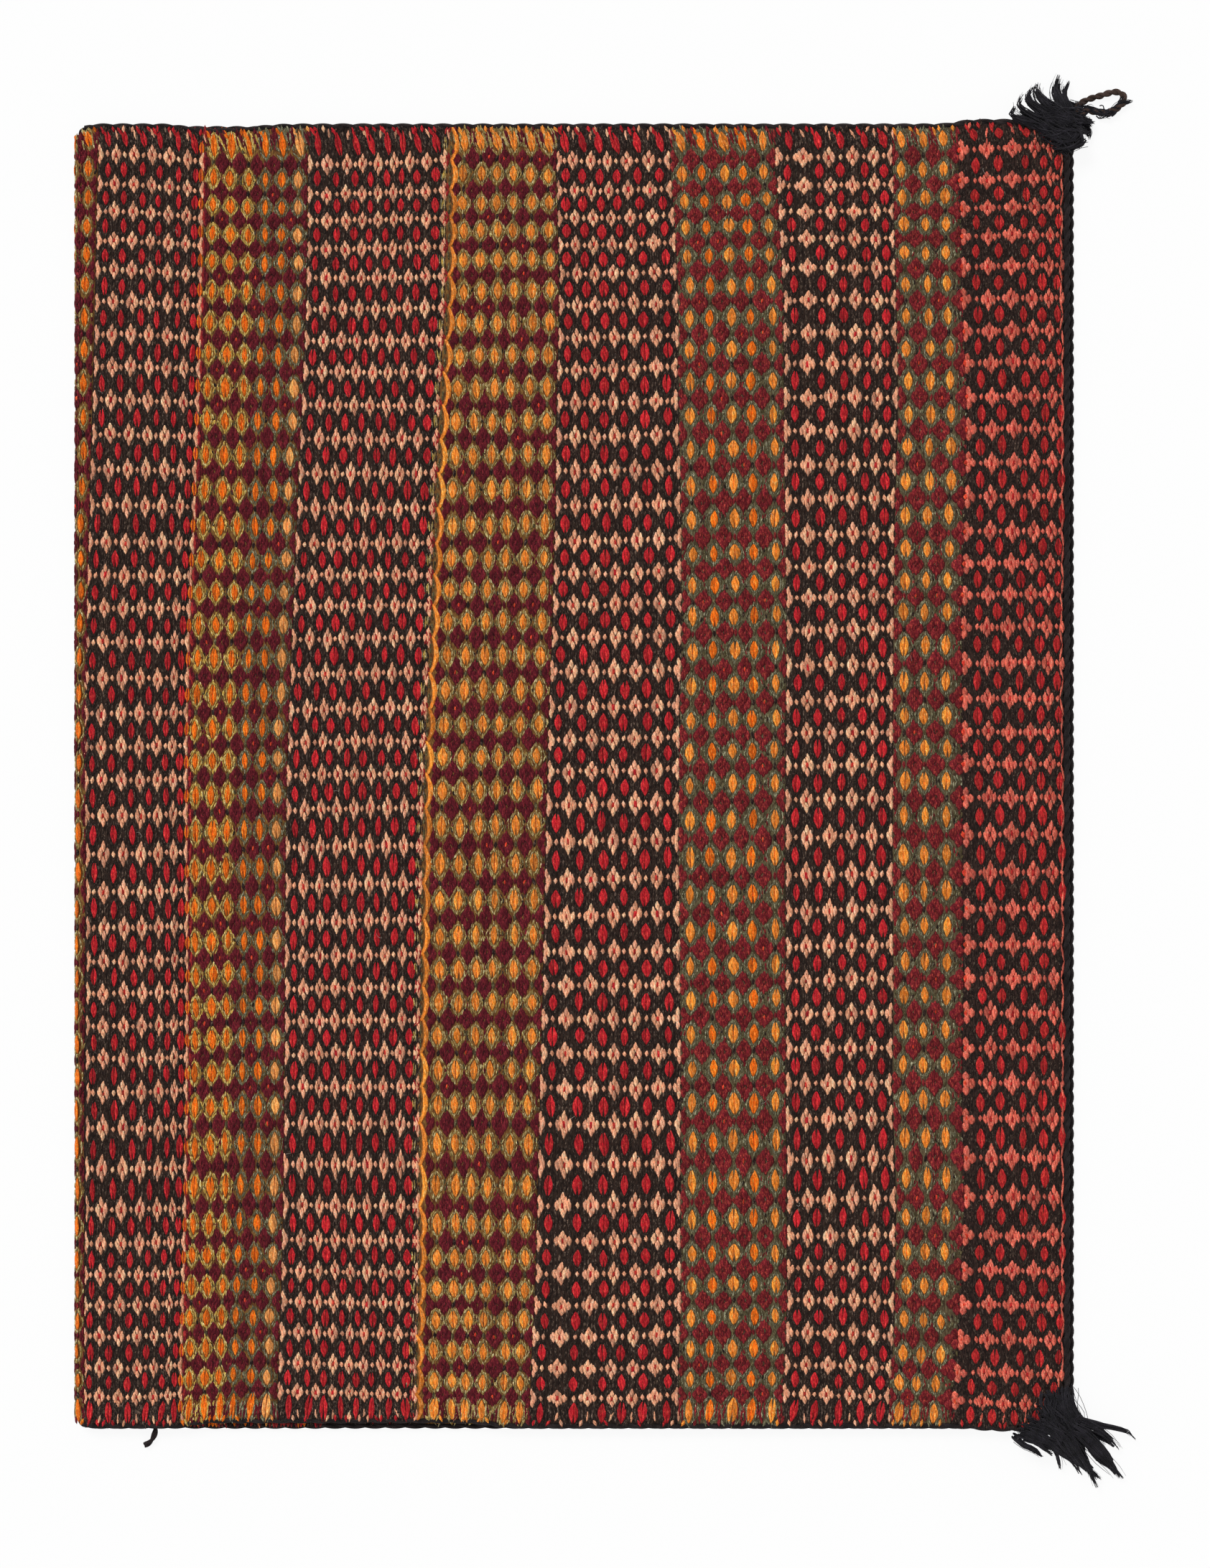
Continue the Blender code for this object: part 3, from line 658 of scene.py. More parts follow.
def cord_tree():
    """Geometry nodes that twist two plies about each path."""
    graph, source = node_group("Twisted cord", (
        ("Twist", "Float", 0.026), ("Cord width", "Float", 0.0044), ("Ply share", "Float", 0.6),
        ("Start turn", "Float", 0.0), ("Step", "Float", 0.0016), ("Side", "Vector", (0.0, 1.0, 0.0))))
    path = graph.add("GeometryNodeMeshToCurve", source["Geometry"])
    even = graph.add("GeometryNodeResampleCurve", path, mode="LENGTH", Length=source["Step"])
    run = graph.add("GeometryNodeSplineParameter").outputs["Length"]
    turns = graph.math("DIVIDE", run, source["Twist"])
    angle = graph.math("MULTIPLY_ADD", turns, 2 * math.pi, source["Start turn"])
    along = graph.add("GeometryNodeInputTangent")
    first = graph.vector("NORMALIZE", graph.vector("CROSS_PRODUCT", source["Side"], along))
    second = graph.vector("CROSS_PRODUCT", along, first)
    stand = graph.math("MULTIPLY", graph.math("MULTIPLY_ADD", source["Ply share"], -0.5, 0.5), source["Cord width"])
    thick = graph.math("MULTIPLY", source["Ply share"], source["Cord width"])
    ring = graph.add("GeometryNodeCurvePrimitiveCircle", Resolution=8, Radius=graph.math("MULTIPLY", thick, 0.5))
    whole = graph.add("GeometryNodeJoinGeometry")
    for ply in range(2):
        own = graph.math("ADD", angle, math.pi * ply)
        legs = [graph.vector("SCALE", axis, Scale=graph.math("MULTIPLY", graph.math(wave, own), stand))
                for wave, axis in (("COSINE", first), ("SINE", second))]
        moved = graph.add("GeometryNodeSetPosition", even, Offset=graph.vector("ADD", *legs))
        graph.feed(whole.inputs[0], graph.add("GeometryNodeCurveToMesh", moved, ring, Fill_Caps=True))
    return end_group(graph, source, whole)


def strand_tree():
    """Geometry nodes that make every path a round yarn, as thick at each point as its attribute says."""
    graph, source = node_group("Round yarns", (("Thickness share", "Float", 1.0), ("Sides", "Int", 4)))
    path = graph.add("GeometryNodeMeshToCurve", source["Geometry"])
    thick = graph.add("GeometryNodeInputNamedAttribute", "thick", data_type="FLOAT")
    scaled = graph.math("MULTIPLY", thick, source["Thickness share"])
    ring = graph.add("GeometryNodeCurvePrimitiveCircle", Resolution=source["Sides"], Radius=0.5)
    tube = graph.add("GeometryNodeCurveToMesh", path, ring, Scale=scaled, Fill_Caps=True)
    return end_group(graph, source, tube)


def through_nodes(name, start, tree, inputs):
    """The plain mesh that a node tree makes from a start mesh, as a new object."""
    holder = add_object(f"{name}_start", start)
    modifier = holder.modifiers.new("Nodes", "NODES")
    modifier.node_group = tree
    sockets = {s.name: s.identifier for s in tree.interface.items_tree if s.in_out == "INPUT"}
    for key, value in inputs.items():
        modifier[sockets[key]] = value
    graph = bpy.context.evaluated_depsgraph_get()
    mesh = bpy.data.meshes.new_from_object(
        holder.evaluated_get(graph), preserve_all_data_layers=True, depsgraph=graph)
    if not mesh.polygons:
        raise RuntimeError(f"{name} came out empty")
    bpy.data.objects.remove(holder)
    mesh.name = name
    mesh.shade_smooth()
    return add_object(name, mesh)


# Places in the cloth


def reach_scale(side):
    return 1.0 if side > 0 else (PANEL_REACH + LOWER_EXTRA) / PANEL_REACH


def curve_at(places, across):
    """A place in metres of reach on the curve through its places at the near side, middle and far side."""
    near, middle, far = (p * MM for p in places)
    at = across / HALF_WEFT
    return middle + at * (far - near) / 2 + at * at * ((far + near) / 2 - middle)


def drawn_in(side, reach, along, across):
    """Places across, drawn in near the side edges where the real edge is."""
    edge = np.clip((np.abs(across) - EDGE_ZONE_START) / EDGE_ZONE_WIDTH, 0.0, 1.0) ** 1.5
    pull = np.where(across > 0, CORNER_PULL[1], CORNER_PULL[-1]) * np.exp(-np.abs(along) / CORNER_FADE)
    if side > 0:
        for hand, depth, start, end in EDGE_PULLS:
            window = 1 / (1 + np.exp((start - reach) / PULL_FADE_IN)) / (1 + np.exp((reach - end) / PULL_FADE_OUT))
            pull = pull + np.where(across * hand > 0, depth, 0.0) * window
    return across - np.sign(across) * pull * edge


def bend_turn(side, reach):
    """How far a reach lies from the bend's middle, and the angle round the bend there."""
    along = side * (HALF_BEND + np.where(reach > 0, reach * reach_scale(side), reach))
    return along, np.clip(along / MID_RADIUS, -math.pi / 2, math.pi / 2)


def swell(side, reach):
    """How much further out the cloth's outer face stands at a reach."""
    return FOLD_SWELL * np.cos(bend_turn(side, np.asarray(reach, float))[1]) ** 2


def drift(reach, across):
    """How far the upper layer's pattern strays along the reach and across at a place, in metres."""
    reach, across = np.broadcast_arrays(np.asarray(reach, float), np.asarray(across, float))
    at = np.interp(across / MM, DRIFT_PLACES, np.arange(len(DRIFT_PLACES)))
    low = np.minimum(at.astype(int), len(DRIFT_PLACES) - 2)
    result = []
    for table in (DRIFT_REACH, DRIFT_ACROSS):
        lines = np.array([np.interp(reach / MM, DRIFT_REACHES, line) for line in table])
        below, above = (np.take_along_axis(lines, low[None] + step, 0)[0] for step in (0, 1))
        result.append((below + (above - below) * (at - low)) * MM * np.clip(reach / 0.006, 0.0, 1.0))
    return result


def cloth_frame(side, reach, across, out):
    """Points of the cloth, with its outward direction and the direction of growing reach there.

    Side is 1 in the upper layer and -1 in the lower one. Reach below zero goes round the bend.
    """
    reach, across, out = np.broadcast_arrays(*(np.asarray(v, float) for v in (reach, across, out)))
    along, turn = bend_turn(side, reach)
    radius = MID_RADIUS + out
    x = FOLD_X + np.maximum(np.abs(along) - HALF_BEND, 0.0) - radius * np.cos(turn)
    lower_share = np.clip(0.5 - along / (2 * HALF_BEND), 0.0, 1.0)
    y = MIDDLE_Y + drawn_in(side, reach, along, across) - LOWER_SHIFT * lower_share
    zero = np.zeros_like(x)
    outward = np.stack([-np.cos(turn), zero, np.sin(turn)], -1)
    growing = side * np.stack([np.sin(turn), zero, np.cos(turn)], -1)
    return np.stack([x, y, FOLD_HEIGHT + radius * np.sin(turn)], -1), outward, growing


def wander(reach, row):
    """How far a row strays across at a reach, in metres. Row may lie between two flower rows."""
    table = np.array([np.interp(row, WANDER_ROWS, line) for line in WANDER]).T
    return np.array([
        np.interp(r, WANDER_REACHES, line) for r, line in zip((np.asarray(reach) / MM).ravel(), table)]) * MM


def all_columns(side):
    """Every lens column of a layer, from the ones that turn round the fold to the last one."""
    columns = [Column(places, "fold_band", "orange", "moss", "maroon", "wine", 0.90)
               for places in (FOLD_COLUMNS if side > 0 else FOLD_COLUMNS_BELOW)]
    for band, lens, ring, fill, flower, places in BANDS:
        for near, middle, far, wide, *other in places:
            own_ring, own_lens = (*other, *(ring, lens)[len(other):])
            columns.append(Column((near, middle, far), band, own_lens, own_ring, fill, flower, wide))
    return columns


def pitch_beside(columns, index, across, step):
    """Half the distance to the next column on one side, in metres, where the step is -1 or 1."""
    if not 0 <= index + step < len(columns):
        return np.full_like(across, LAST_HALF_PITCH)
    own, other = (columns[i] for i in (index, index + step))
    half = np.abs(curve_at(other.places, across) - curve_at(own.places, across)) / 2
    return np.minimum(half, WIDEST_HALF_PITCH) if {own.band, other.band} == WIDE_GAP else half


def row_frame(columns, index, rows, offset, fine):
    """Reach, across and pitch of one column at flower rows, or between them where the offset is a half."""
    at = rows + offset
    base, before, after = (np.interp(at + step, np.arange(len(FLOWER_ROWS)), ROWS) for step in (0, -0.5, 0.5))
    across = base + wander(curve_at(columns[index].places, base), at)
    reach = curve_at(columns[index].places, across)
    if fine:
        stray = drift(reach, across)
        reach, across = reach + stray[0], across + stray[1]
    return reach, across, after - before


# Floats


def float_template(name, stations, section, bow=0.0, spread=1.0):
    """One float of unit size: pointed at both ends, round on top and flat underneath.

    Stations give (along, width, height); section gives (across, up). Its map runs across and along it, over the
    spread's share of the map up to its outer side.
    """
    points = [(0.0, -0.5, 0.0)]
    places = [(1.0 - 0.5 * spread, 0.0)]
    for along, width, height in stations:
        for across, up in section:
            points.append((across * width + bow * (1 - (2 * along) ** 2), along, up * height))
            places.append((1.0 - spread * (0.5 - across), along + 0.5))
    points.append((0.0, 0.5, 0.0))
    places.append((1.0 - 0.5 * spread, 1.0))
    count = len(section)
    turn = [(i, (i + 1) % count) for i in range(count)]
    faces = [(0, 1 + i, 1 + j) for i, j in turn]
    for first in range(1, 1 + (len(stations) - 1) * count, count):
        faces += [(first + i, first + count + i, first + count + j, first + j) for i, j in turn]
    last, tip = 1 + (len(stations) - 1) * count, len(points) - 1
    faces += [(tip, last + j, last + i) for i, j in turn]
    template = mesh_object(name, points, faces)
    layer = template.data.uv_layers.new(name="Yarn")
    for loop in template.data.loops:
        layer.data[loop.index].uv = places[loop.vertex_index]
    return template


def lay_floats(name, groups, tree, templates, material, seed):
    """One mesh from what looms have woven, each given with its side and face."""
    weave = settings("weave")
    parts = []
    for side, face, loom in groups:
        f = loom.gathered()
        keep = (np.abs(f["across"]) < HALF_WEFT + PAST_SIDE) & (f["reach"] < PANEL_REACH + PAST_END)
        if face < 0:
            keep &= f["reach"] > OFF_BEND
        f = {key: values[keep] for key, values in f.items()}
        reach = np.where(f["reach"] < 0, f["reach"] * BEND_SHARE, f["reach"])
        out = face * (weave.ground / 2 - ROOT_DEPTH) + (swell(side, reach) if face > 0 else 0.0)
        place, outward, growing = cloth_frame(side, reach, f["across"], out)
        lay = np.cos(f["turn"])[:, None] * np.array([0.0, 1.0, 0.0]) + np.sin(f["turn"])[:, None] * growing
        size = np.stack([f["wide"], f["long"], f["rise"]], -1)
        parts.append((place, outward * face, lay, size, f["shape"], f["yarn"]))
    place, outward, lay, size, shape, yarn = (np.concatenate(part) for part in zip(*parts))
    start = bpy.data.meshes.new(f"{name}_points")
    start.vertices.add(len(place))
    start.vertices.foreach_set("co", place.astype(np.float32).ravel())
    variant = np.random.default_rng(seed).choice(len(TONES), len(place))
    for key, kind, values in (
            ("outward", "FLOAT_VECTOR", outward), ("lay", "FLOAT_VECTOR", lay), ("size", "FLOAT_VECTOR", size),
            ("shape", "INT", shape), ("yarn", "INT", yarn), ("variant", "FLOAT", variant)):
        set_attribute(start, key, kind, values)
    piece = through_nodes(name, start, tree, {
        "Slant": weave.slant, "Seed": seed, "Material": material, **{t.name: t for t in templates}})
    paint_floats(piece.data)
    return piece


def paint_floats(mesh):
    """Gives every point the colours of its yarn, and every float a place on the baking map by its yarn and tone."""
    yarn, variant = (read_attribute(mesh, *pair) for pair in (("yarn", "INT"), ("variant", "FLOAT")))
    tone = np.array(TONES)[variant.astype(int)]
    yarns = settings("yarns")
    for name, ending in zip(COLOUR_ATTRIBUTES, ("", "_fleck")):
        palette = np.array([list(getattr(yarns, own + ending)) for own in YARNS])
        shades = np.ones((len(yarn), 4), np.float32)
        shades[:, :3] = palette[yarn] * tone[:, None]
        shades[:, 2] *= 1.0 + 0.04 * np.cos(2.1 * variant)
        set_attribute(mesh, name, "FLOAT_COLOR", np.clip(shades, 0, 1))
    corner_point = np.zeros(len(mesh.loops), np.int32)
    mesh.loops.foreach_get("vertex_index", corner_point)
    own = np.zeros(len(mesh.loops) * 2, np.float32)
    mesh.uv_layers["Yarn"].data.foreach_get("uv", own)
    swatch = (yarn * len(TONES) + variant.astype(int))[corner_point]
    corner = np.stack([swatch % SWATCH_SIDE, swatch // SWATCH_SIDE], -1)
    placed = (corner + 0.06 + 0.88 * own.reshape(-1, 2)) / SWATCH_SIDE
    mesh.uv_layers.new(name="OFBake").data.foreach_set("uv", placed.astype(np.float32).ravel())
    for name in ("outward", "lay", "size", "shape", "yarn"):
        mesh.attributes.remove(mesh.attributes[name])


class Loom:
    """Weaves the floats of one face: where each lies, how it lies, its size, its shape and its yarn.

    The face that shows is woven finely. The others have plainer shapes, and fewer of them.
    """

    FIELDS = ("reach", "across", "turn", "long", "wide", "rise", "shape", "yarn")

    def __init__(self, columns, rng, fine):
        self.columns, self.rng, self.fine, self.laid = columns, rng, fine, []
        self.width, self.rise = settings("weave").float_width, settings("weave").rise
        self.short, self.petal, self.lens = (SHORT, PETAL, LENS_YARN) if fine else (PLAIN,) * 3

    def add(self, *values):
        """Lays floats, given in the order of the fields, with the yarn by name or number."""
        *sizes, yarn = values
        yarn = YARN_NAMES.index(yarn) if isinstance(yarn, str) else yarn
        arrays = np.broadcast_arrays(*(np.asarray(v, float) for v in (*sizes, yarn)))
        self.laid.append([array.ravel() for array in arrays])

    def gathered(self):
        return dict(zip(self.FIELDS, (np.concatenate(part) for part in zip(*self.laid))))

    def draws(self, count):
        """Two ways to draw for so many floats: about nought by a spread, and evenly between two bounds."""
        return (lambda spread: self.rng.normal(0, spread, count),
                lambda low, high: self.rng.uniform(low, high, count))

    def pick(self, names, count, p=None):
        return self.rng.choice([YARN_NAMES.index(name) for name in names], count, p=p)

    def lenses(self, index):
        """The lenses of one column, the rings round them and the heathered ground beside them."""
        weave, column, fine, width, rise = settings("weave"), self.columns[index], self.fine, self.width, self.rise
        black = column.ring == "black"
        reach, across, row_pitch = row_frame(self.columns, index, LENS_ROWS, 0.5, fine)
        count = len(reach)
        stray, part = self.draws(count)
        scale = row_pitch / MEAN_PITCH
        sway = stray(0.00035)
        reach, across = reach + sway, across + stray(0.0004)
        wide = weave.lens_width * column.wide * part(0.88, 1.12)
        long = weave.lens_length * scale * part(0.9, 1.1)
        # The lenses along the two edges are drawn out to the cord
        edge_rows = row_frame(self.columns, index, np.array([1, len(FLOWER_ROWS) - 2]), 0.0, fine)[1]
        for (row, edge, past), place in zip(EDGE_LENSES, edge_rows):
            inner = place + past
            long[row], across[row] = abs(edge - inner), (edge + inner) / 2
        lean = np.zeros(count)
        lean[0], lean[-1] = self.rng.normal(0.05, 0.08), self.rng.normal(-0.20, 0.08)
        close = part(-0.03, 0.05)
        for side in SIDES:
            self.add(reach + side * close * wide, across, lean + (0.0 if side > 0 else math.pi),
                     1.05 * long * part(0.94, 1.04), 0.62 * wide, rise, self.lens, column.lens)
        half_wide, half_long = wide / 2, long / 2
        ring_width = width if black or not fine else 0.72 * width
        strands = RING_STRANDS + (OUTER_STRANDS if fine and not black and column.band != "fold_band" else ())
        for side in SIDES:
            half_pitch = pitch_beside(self.columns, index, across, side)
            gap = np.maximum(half_pitch - half_wide - RING_ROOM, 0.0006)
            # Short floats that fill the gap to the next ring, in as many layers as there is room for
            layers = max(1, round(float(np.median(gap)) / 0.0017))
            for end in SIDES:
                for share, more, gap_share, along, slope, length in strands:
                    self.add(reach + side * (share * half_wide + more + gap_share * gap) + stray(0.0002),
                             across + end * along * long + stray(0.0005), lean - side * end * slope + stray(0.08),
                             length * part(0.85, 1.2), ring_width * part(0.7, 1.05), rise * part(0.70, 0.84),
                             self.short, column.ring)
                if not fine:
                    continue
                if side > 0:
                    self.add(reach + stray(0.0002), across + end * (half_long + part(0.0008, 0.0018)),
                             lean + stray(0.1), 0.0046, 0.70 * width, 0.72 * rise, SHORT, column.ring)
                for layer in range(layers):
                    share = (layer + 0.5) / layers
                    short_by = 1.0 if black else 1.0 - 0.45 * share
                    self.add(reach + side * (half_wide + RING_ROOM + gap * share) - sway + stray(0.0002),
                             across + end * 0.0022 * short_by + stray(0.0008),
                             -side * end * (0.0 if black else 0.14) + stray(0.12),
                             0.0054 * short_by * part(0.85, 1.25), np.clip(gap / layers * 1.1, 0.0010, 0.0022),
                             0.64 * rise, SHORT, column.fill if black else self.pick(
                                 ("black", column.flower, column.ring, column.fill), count, (0.18, 0.26, 0.16, 0.40)))
                if black:
                    self.add(reach + side * (0.52 * half_pitch) - sway, across + end * 0.0070 * scale,
                             -side * end * 0.25 + stray(0.1), 0.0058, width, 0.62 * rise, SHORT, column.fill)

    def flower_petals(self, black, shared, side, big):
        """The petals of a flower: which flowers have each, its place along the reach and across, and its size."""
        small = ~big
        petals = []
        for half in SIDES if shared else (-side,):
            if black:
                petals += [(small, 0.52 * half, 0.0, 1.0, 1.22), (big, 0.68 * half, 0.0, 0.72, 0.98),
                           (big, 0.30 * half, 0.0, 0.66, 1.36)]
            else:
                petals.append((small, 0.62 * half, 0.0, 0.80, 1.0))
                petals += [(small, 0.27 * half, 0.36 * end, 0.72, 0.92) for end in SIDES]
        for end in SIDES:
            if shared:
                petals += [(small, 0.0, 0.54 * end, 0.84 if black else 0.66, 0.94),
                           (big, 0.0, 0.54 * end, 0.64, 0.88)]
            else:
                petals.append((big | small, -0.24 * side, 0.50 * end, 0.70, 0.92))
        return petals

    def flowers(self, index):
        """The flowers after one column, or the halves of them that are in its colour, and the dots on it."""
        columns, column, rise, petal = self.columns, self.columns[index], self.rise, self.petal
        reach, across, row_pitch = row_frame(columns, index, FLOWER_ROW_NUMBERS, 0.0, self.fine)
        count = len(reach)
        stray, part = self.draws(count)
        black = column.ring == "black"
        for side in SIDES:
            beside = index + side
            shared = 0 <= beside < len(columns) and columns[beside].flower == column.flower
            if shared and side < 0:
                continue
            half_pitch = pitch_beside(columns, index, across, side)
            tall = (0.37 if black else 0.395) * row_pitch * part(0.92, 1.10)
            share = 0.87 if not black else 0.72 if column.flower == "coral" else 0.68 if not shared else 0.64
            broad = share * half_pitch * part(0.93, 1.07)
            middle, level = reach + side * half_pitch + stray(0.0002), across + stray(0.0004)
            for some, aside, up, width, length in self.flower_petals(black, shared, side, (broad > 0.0048) & black):
                number = int(some.sum())
                if number:
                    stray_some, part_some = self.draws(number)
                    self.add((middle + aside * broad)[some] + stray_some(0.0001), (level + up * tall)[some],
                             stray_some(0.06), (length * tall)[some] * part_some(0.9, 1.08), (width * broad)[some],
                             (0.92 if up else 0.88) * rise * part_some(0.92, 1.06), petal, column.flower)
            if not shared:
                continue
            draw = self.rng.random(count)
            if black:
                odd, usual = draw < 0.16, HEARTS[column.flower]
                bulk = np.where(odd, 1.3, np.where(draw > 0.82, 0.6, 1.0))
            else:
                odd, usual = draw < 0.22, column.flower
                bulk = np.where(odd, 0.75, 0.9)
            heart = np.where(odd, *(YARN_NAMES.index(name) for name in (column.lens if black else "spark", usual)))
            self.add(middle + stray(0.0003), level + stray(0.0004), stray(0.1), 0.60 * tall * bulk,
                     0.52 * np.minimum(broad, 0.0045) * bulk, 1.08 * rise, self.short, heart)
        if self.fine and column.flower == "salmon":
            self.add(reach, across, math.pi / 2 + stray(0.06), 0.0062, 0.0006, 0.52 * rise, PLAIN, column.flower)
        dot = column.flower if black else self.pick(
            ("black", column.fill, column.flower), count, (0.4, 0.25, 0.35))
        self.add(reach, across + stray(0.0003), stray(0.12), (0.0050 if black else 0.0058) * part(0.80, 1.15),
                 0.0029 if black else 0.0025, rise, petal, dot)

    def edges(self, index):
        """Turns of weft that come up between the edge lenses and lap over the side cords."""
        column, rise, rng, petal = self.columns[index], self.rise, self.rng, self.petal
        other = column.fill if column.ring == "black" else column.flower
        for edge, lean in ((-1, 0.06), (1, -0.24)):
            across = np.array([edge * EDGE_TURNS])
            reach = curve_at(column.places, across)
            if self.fine:
                reach = reach + drift(reach, across)[0]
            half_pitch = pitch_beside(self.columns, index, across, 1)
            self.add(reach + half_pitch, across + edge * rng.uniform(0, 0.002), rng.normal(lean, 0.15), 0.0080,
                     0.0027, 0.95 * rise, petal, column.flower)
            if self.fine and edge > 0:
                self.add(reach - 0.55 * half_pitch, across + 0.0028, rng.normal(-0.4, 0.1), 0.0084, 0.0030,
                         1.02 * rise, petal, column.lens)
            for side in SIDES:
                half_pitch = pitch_beside(self.columns, index, across, side)
                for share, yarn in ((0.40, column.ring), (0.64, other), (0.90, rng.choice([column.ring, other]))):
                    self.add(reach + side * share * half_pitch, across - edge * rng.uniform(0.0, 0.004),
                             rng.normal(lean, 0.10), 0.0125, 0.0022, 0.84 * rise, petal, yarn)
                if self.fine:
                    yarn = rng.choice([column.lens, column.lens, column.flower, column.ring])
                    self.add(reach + side * rng.uniform(0.15, 0.9) * half_pitch, edge * EDGE_LAP,
                             rng.normal(lean, 0.3), 0.0056, 0.0026, 1.05 * rise, petal, yarn)

    def peeking_edge(self, index):
        """Turns of the lower layer's weft over its side cord, where the upper layer's edge is drawn in."""
        column = self.columns[index]
        for hand, _, start, end in EDGE_PULLS:
            edge = np.array([hand * HALF_WEFT])
            middle = float(curve_at(column.places, edge)[0])
            half = float(pitch_beside(self.columns, index, edge, 1)[0])
            places = np.arange(middle - half, middle + half, 0.0023)
            places = places[(places > start - 0.006) & (places < end - (0.108 if hand < 0 else 0.0))]
            count = len(places)
            if count:
                stray, part = self.draws(count)
                yarns = self.pick(("rust", "orange", "maroon", "wine", "black", "black", column.lens), count)
                self.add(places + stray(0.0003), hand * (EDGE_LAP + part(0, 0.0008)), stray(0.12),
                         part(0.0048, 0.0060), part(0.0020, 0.0034), 0.0016, PETAL, yarns)

    def strip(self):
        """The strip of rust flowers and the orange line beside the first gold band."""
        fine, rise = self.fine, self.rise
        before = next(i for i, column in enumerate(self.columns) if column.band == "gold_band_2") - 1
        reach, across, _ = row_frame(self.columns, before, LENS_ROWS, 0.5, fine)
        stray, part = self.draws(len(reach))
        for side in SIDES if fine else (1,):
            self.add(reach + 0.0040 + side * 0.0002, across, 0.0 if side > 0 else math.pi, 0.0100 * part(0.9, 1.1),
                     0.0019 if fine else 0.0036, 1.2 * rise, self.lens, "orange")
        for share, aside in ((0.0, 0.0022), (0.5, 0.0)):
            self.add(reach + 0.0062 - aside, across + share * ROW_PITCH, stray(0.06), 0.58 * ROW_PITCH, 0.0030,
                     1.02 * rise, self.petal, "rust")

    def zigzag(self):
        """The amber yarn that waves along the border of the second gold band, and what lies beside it."""
        fine, rise, petal, pitch = self.fine, self.rise, self.petal, ROW_PITCH
        level = ROWS[:-1] + 0.5 * pitch
        reach = curve_at(ZIGZAG_PLACES, level)
        level = level + wander(reach, LENS_ROWS + 0.5)
        if fine:
            astray = drift(reach, level)
            reach, level = reach + astray[0], level + astray[1]
        stray, part = self.draws(len(reach))
        self.add(reach, level, stray(0.03), 1.14 * pitch, 0.0040, 1.05 * rise, WAVE if fine else PLAIN, "amber")
        for share in (0.22, 0.36, 0.64, 0.78):
            self.add(reach + 0.0004 - 0.0018 * abs(share - 0.5), level + (share - 0.5) * pitch, stray(0.15), 0.0046,
                     0.0021, 0.66 * rise, self.short, "green")
        for aside, yarn in ((-0.0030, "moss"), (-0.0043, "olive"), (-0.0056, "sage")):
            self.add(reach + aside + stray(0.0002), level + stray(0.0006), stray(0.09), 0.0092 * part(0.8, 1.15),
                     0.0016, 0.8 * rise, petal, yarn)
        for end in SIDES:
            for aside in (-0.0014, -0.0032):
                self.add(reach + aside, level + end * 0.40 * pitch, end * 0.3 + stray(0.08), 0.0062, 0.0021,
                         0.9 * rise, petal, "rust")

    def last_edge(self):
        """The bright specks at the start of the last band and its coral yarn beside the end cord."""
        reach, across, _ = row_frame(self.columns, len(self.columns) - 5, LENS_ROWS, 0.0, self.fine)
        stray, part = self.draws(len(reach))
        self.add(reach - 0.0098 + stray(0.0006), across, stray(0.2), 0.0050 * part(0.8, 1.2), 0.0036,
                 1.1 * self.rise, self.petal, "spark")
        reach, across, _ = row_frame(self.columns, len(self.columns) - 1, LENS_ROWS, 0.5, self.fine)
        for end in SIDES:
            self.add(np.minimum(reach + 0.0026, PANEL_REACH), across + end * 0.25 * ROW_PITCH, -end * 0.12,
                     0.62 * ROW_PITCH, 0.0019, 1.12 * self.rise, self.petal, "coral")


# What stands only on the borders of some bands
BORDER_WEAVERS = {"gold_band_2": Loom.strip, "gold_band_4": Loom.zigzag, "coral_band_9": Loom.last_edge}


# Cords and strands


def from_paths(name, paths, tree, inputs, thicks=None):
    """A piece that a node tree makes of open paths, with how thick each point is."""
    points, edges = [], []
    for path in paths:
        edges += [(len(points) + i, len(points) + i + 1) for i in range(len(path) - 1)]
        points += [tuple(p) for p in path]
    start = bpy.data.meshes.new(f"{name}_paths")
    start.from_pydata(points, edges, [])
    if thicks is not None:
        set_attribute(start, "thick", "FLOAT", np.concatenate(thicks))
    piece = through_nodes(name, start, tree, inputs)
    face_out(piece.data)
    return piece


def smooth_path(keys, steps=5):
    """A smooth path through key points, with even steps between each two."""
    keys = [np.array(k, float) for k in keys]
    ends = [2 * keys[0] - keys[1]] + keys + [2 * keys[-1] - keys[-2]]
    path = []
    for a, b, c, d in zip(ends, ends[1:], ends[2:], ends[3:]):
        for t in np.arange(steps) / steps:
            bend = (2 * a - 5 * b + 4 * c - d) * t * t + (3 * b - a - 3 * c + d) * t * t * t
            path.append(b + (c - a) * t / 2 + bend / 2)
    return path + keys[-1:]


def twisted_cord(name, path, tree, material, twist, width, share, start_turn=0.0, side=(0.0, 1.0, 0.0), step=0.0016):
    return from_paths(name, [path], tree, {
        "Twist": twist, "Cord width": width, "Ply share": share, "Start turn": start_turn, "Step": step,
        "Side": side, "Material": material})


def picture_place(px, py):
    """The place on the blanket under a pixel of the picture's frame."""
    pixel = settings("stage").pixel
    return np.array([PICTURE_X + (px - PICTURE_PIXEL[0]) * pixel, MIDDLE_Y + (PICTURE_PIXEL[1] - py) * pixel])


def bend_reach(count):
    """Reaches all round the bend, from the lower layer to the upper one."""
    return np.radians(np.linspace(-90, 90, count)) * MID_RADIUS - HALF_BEND


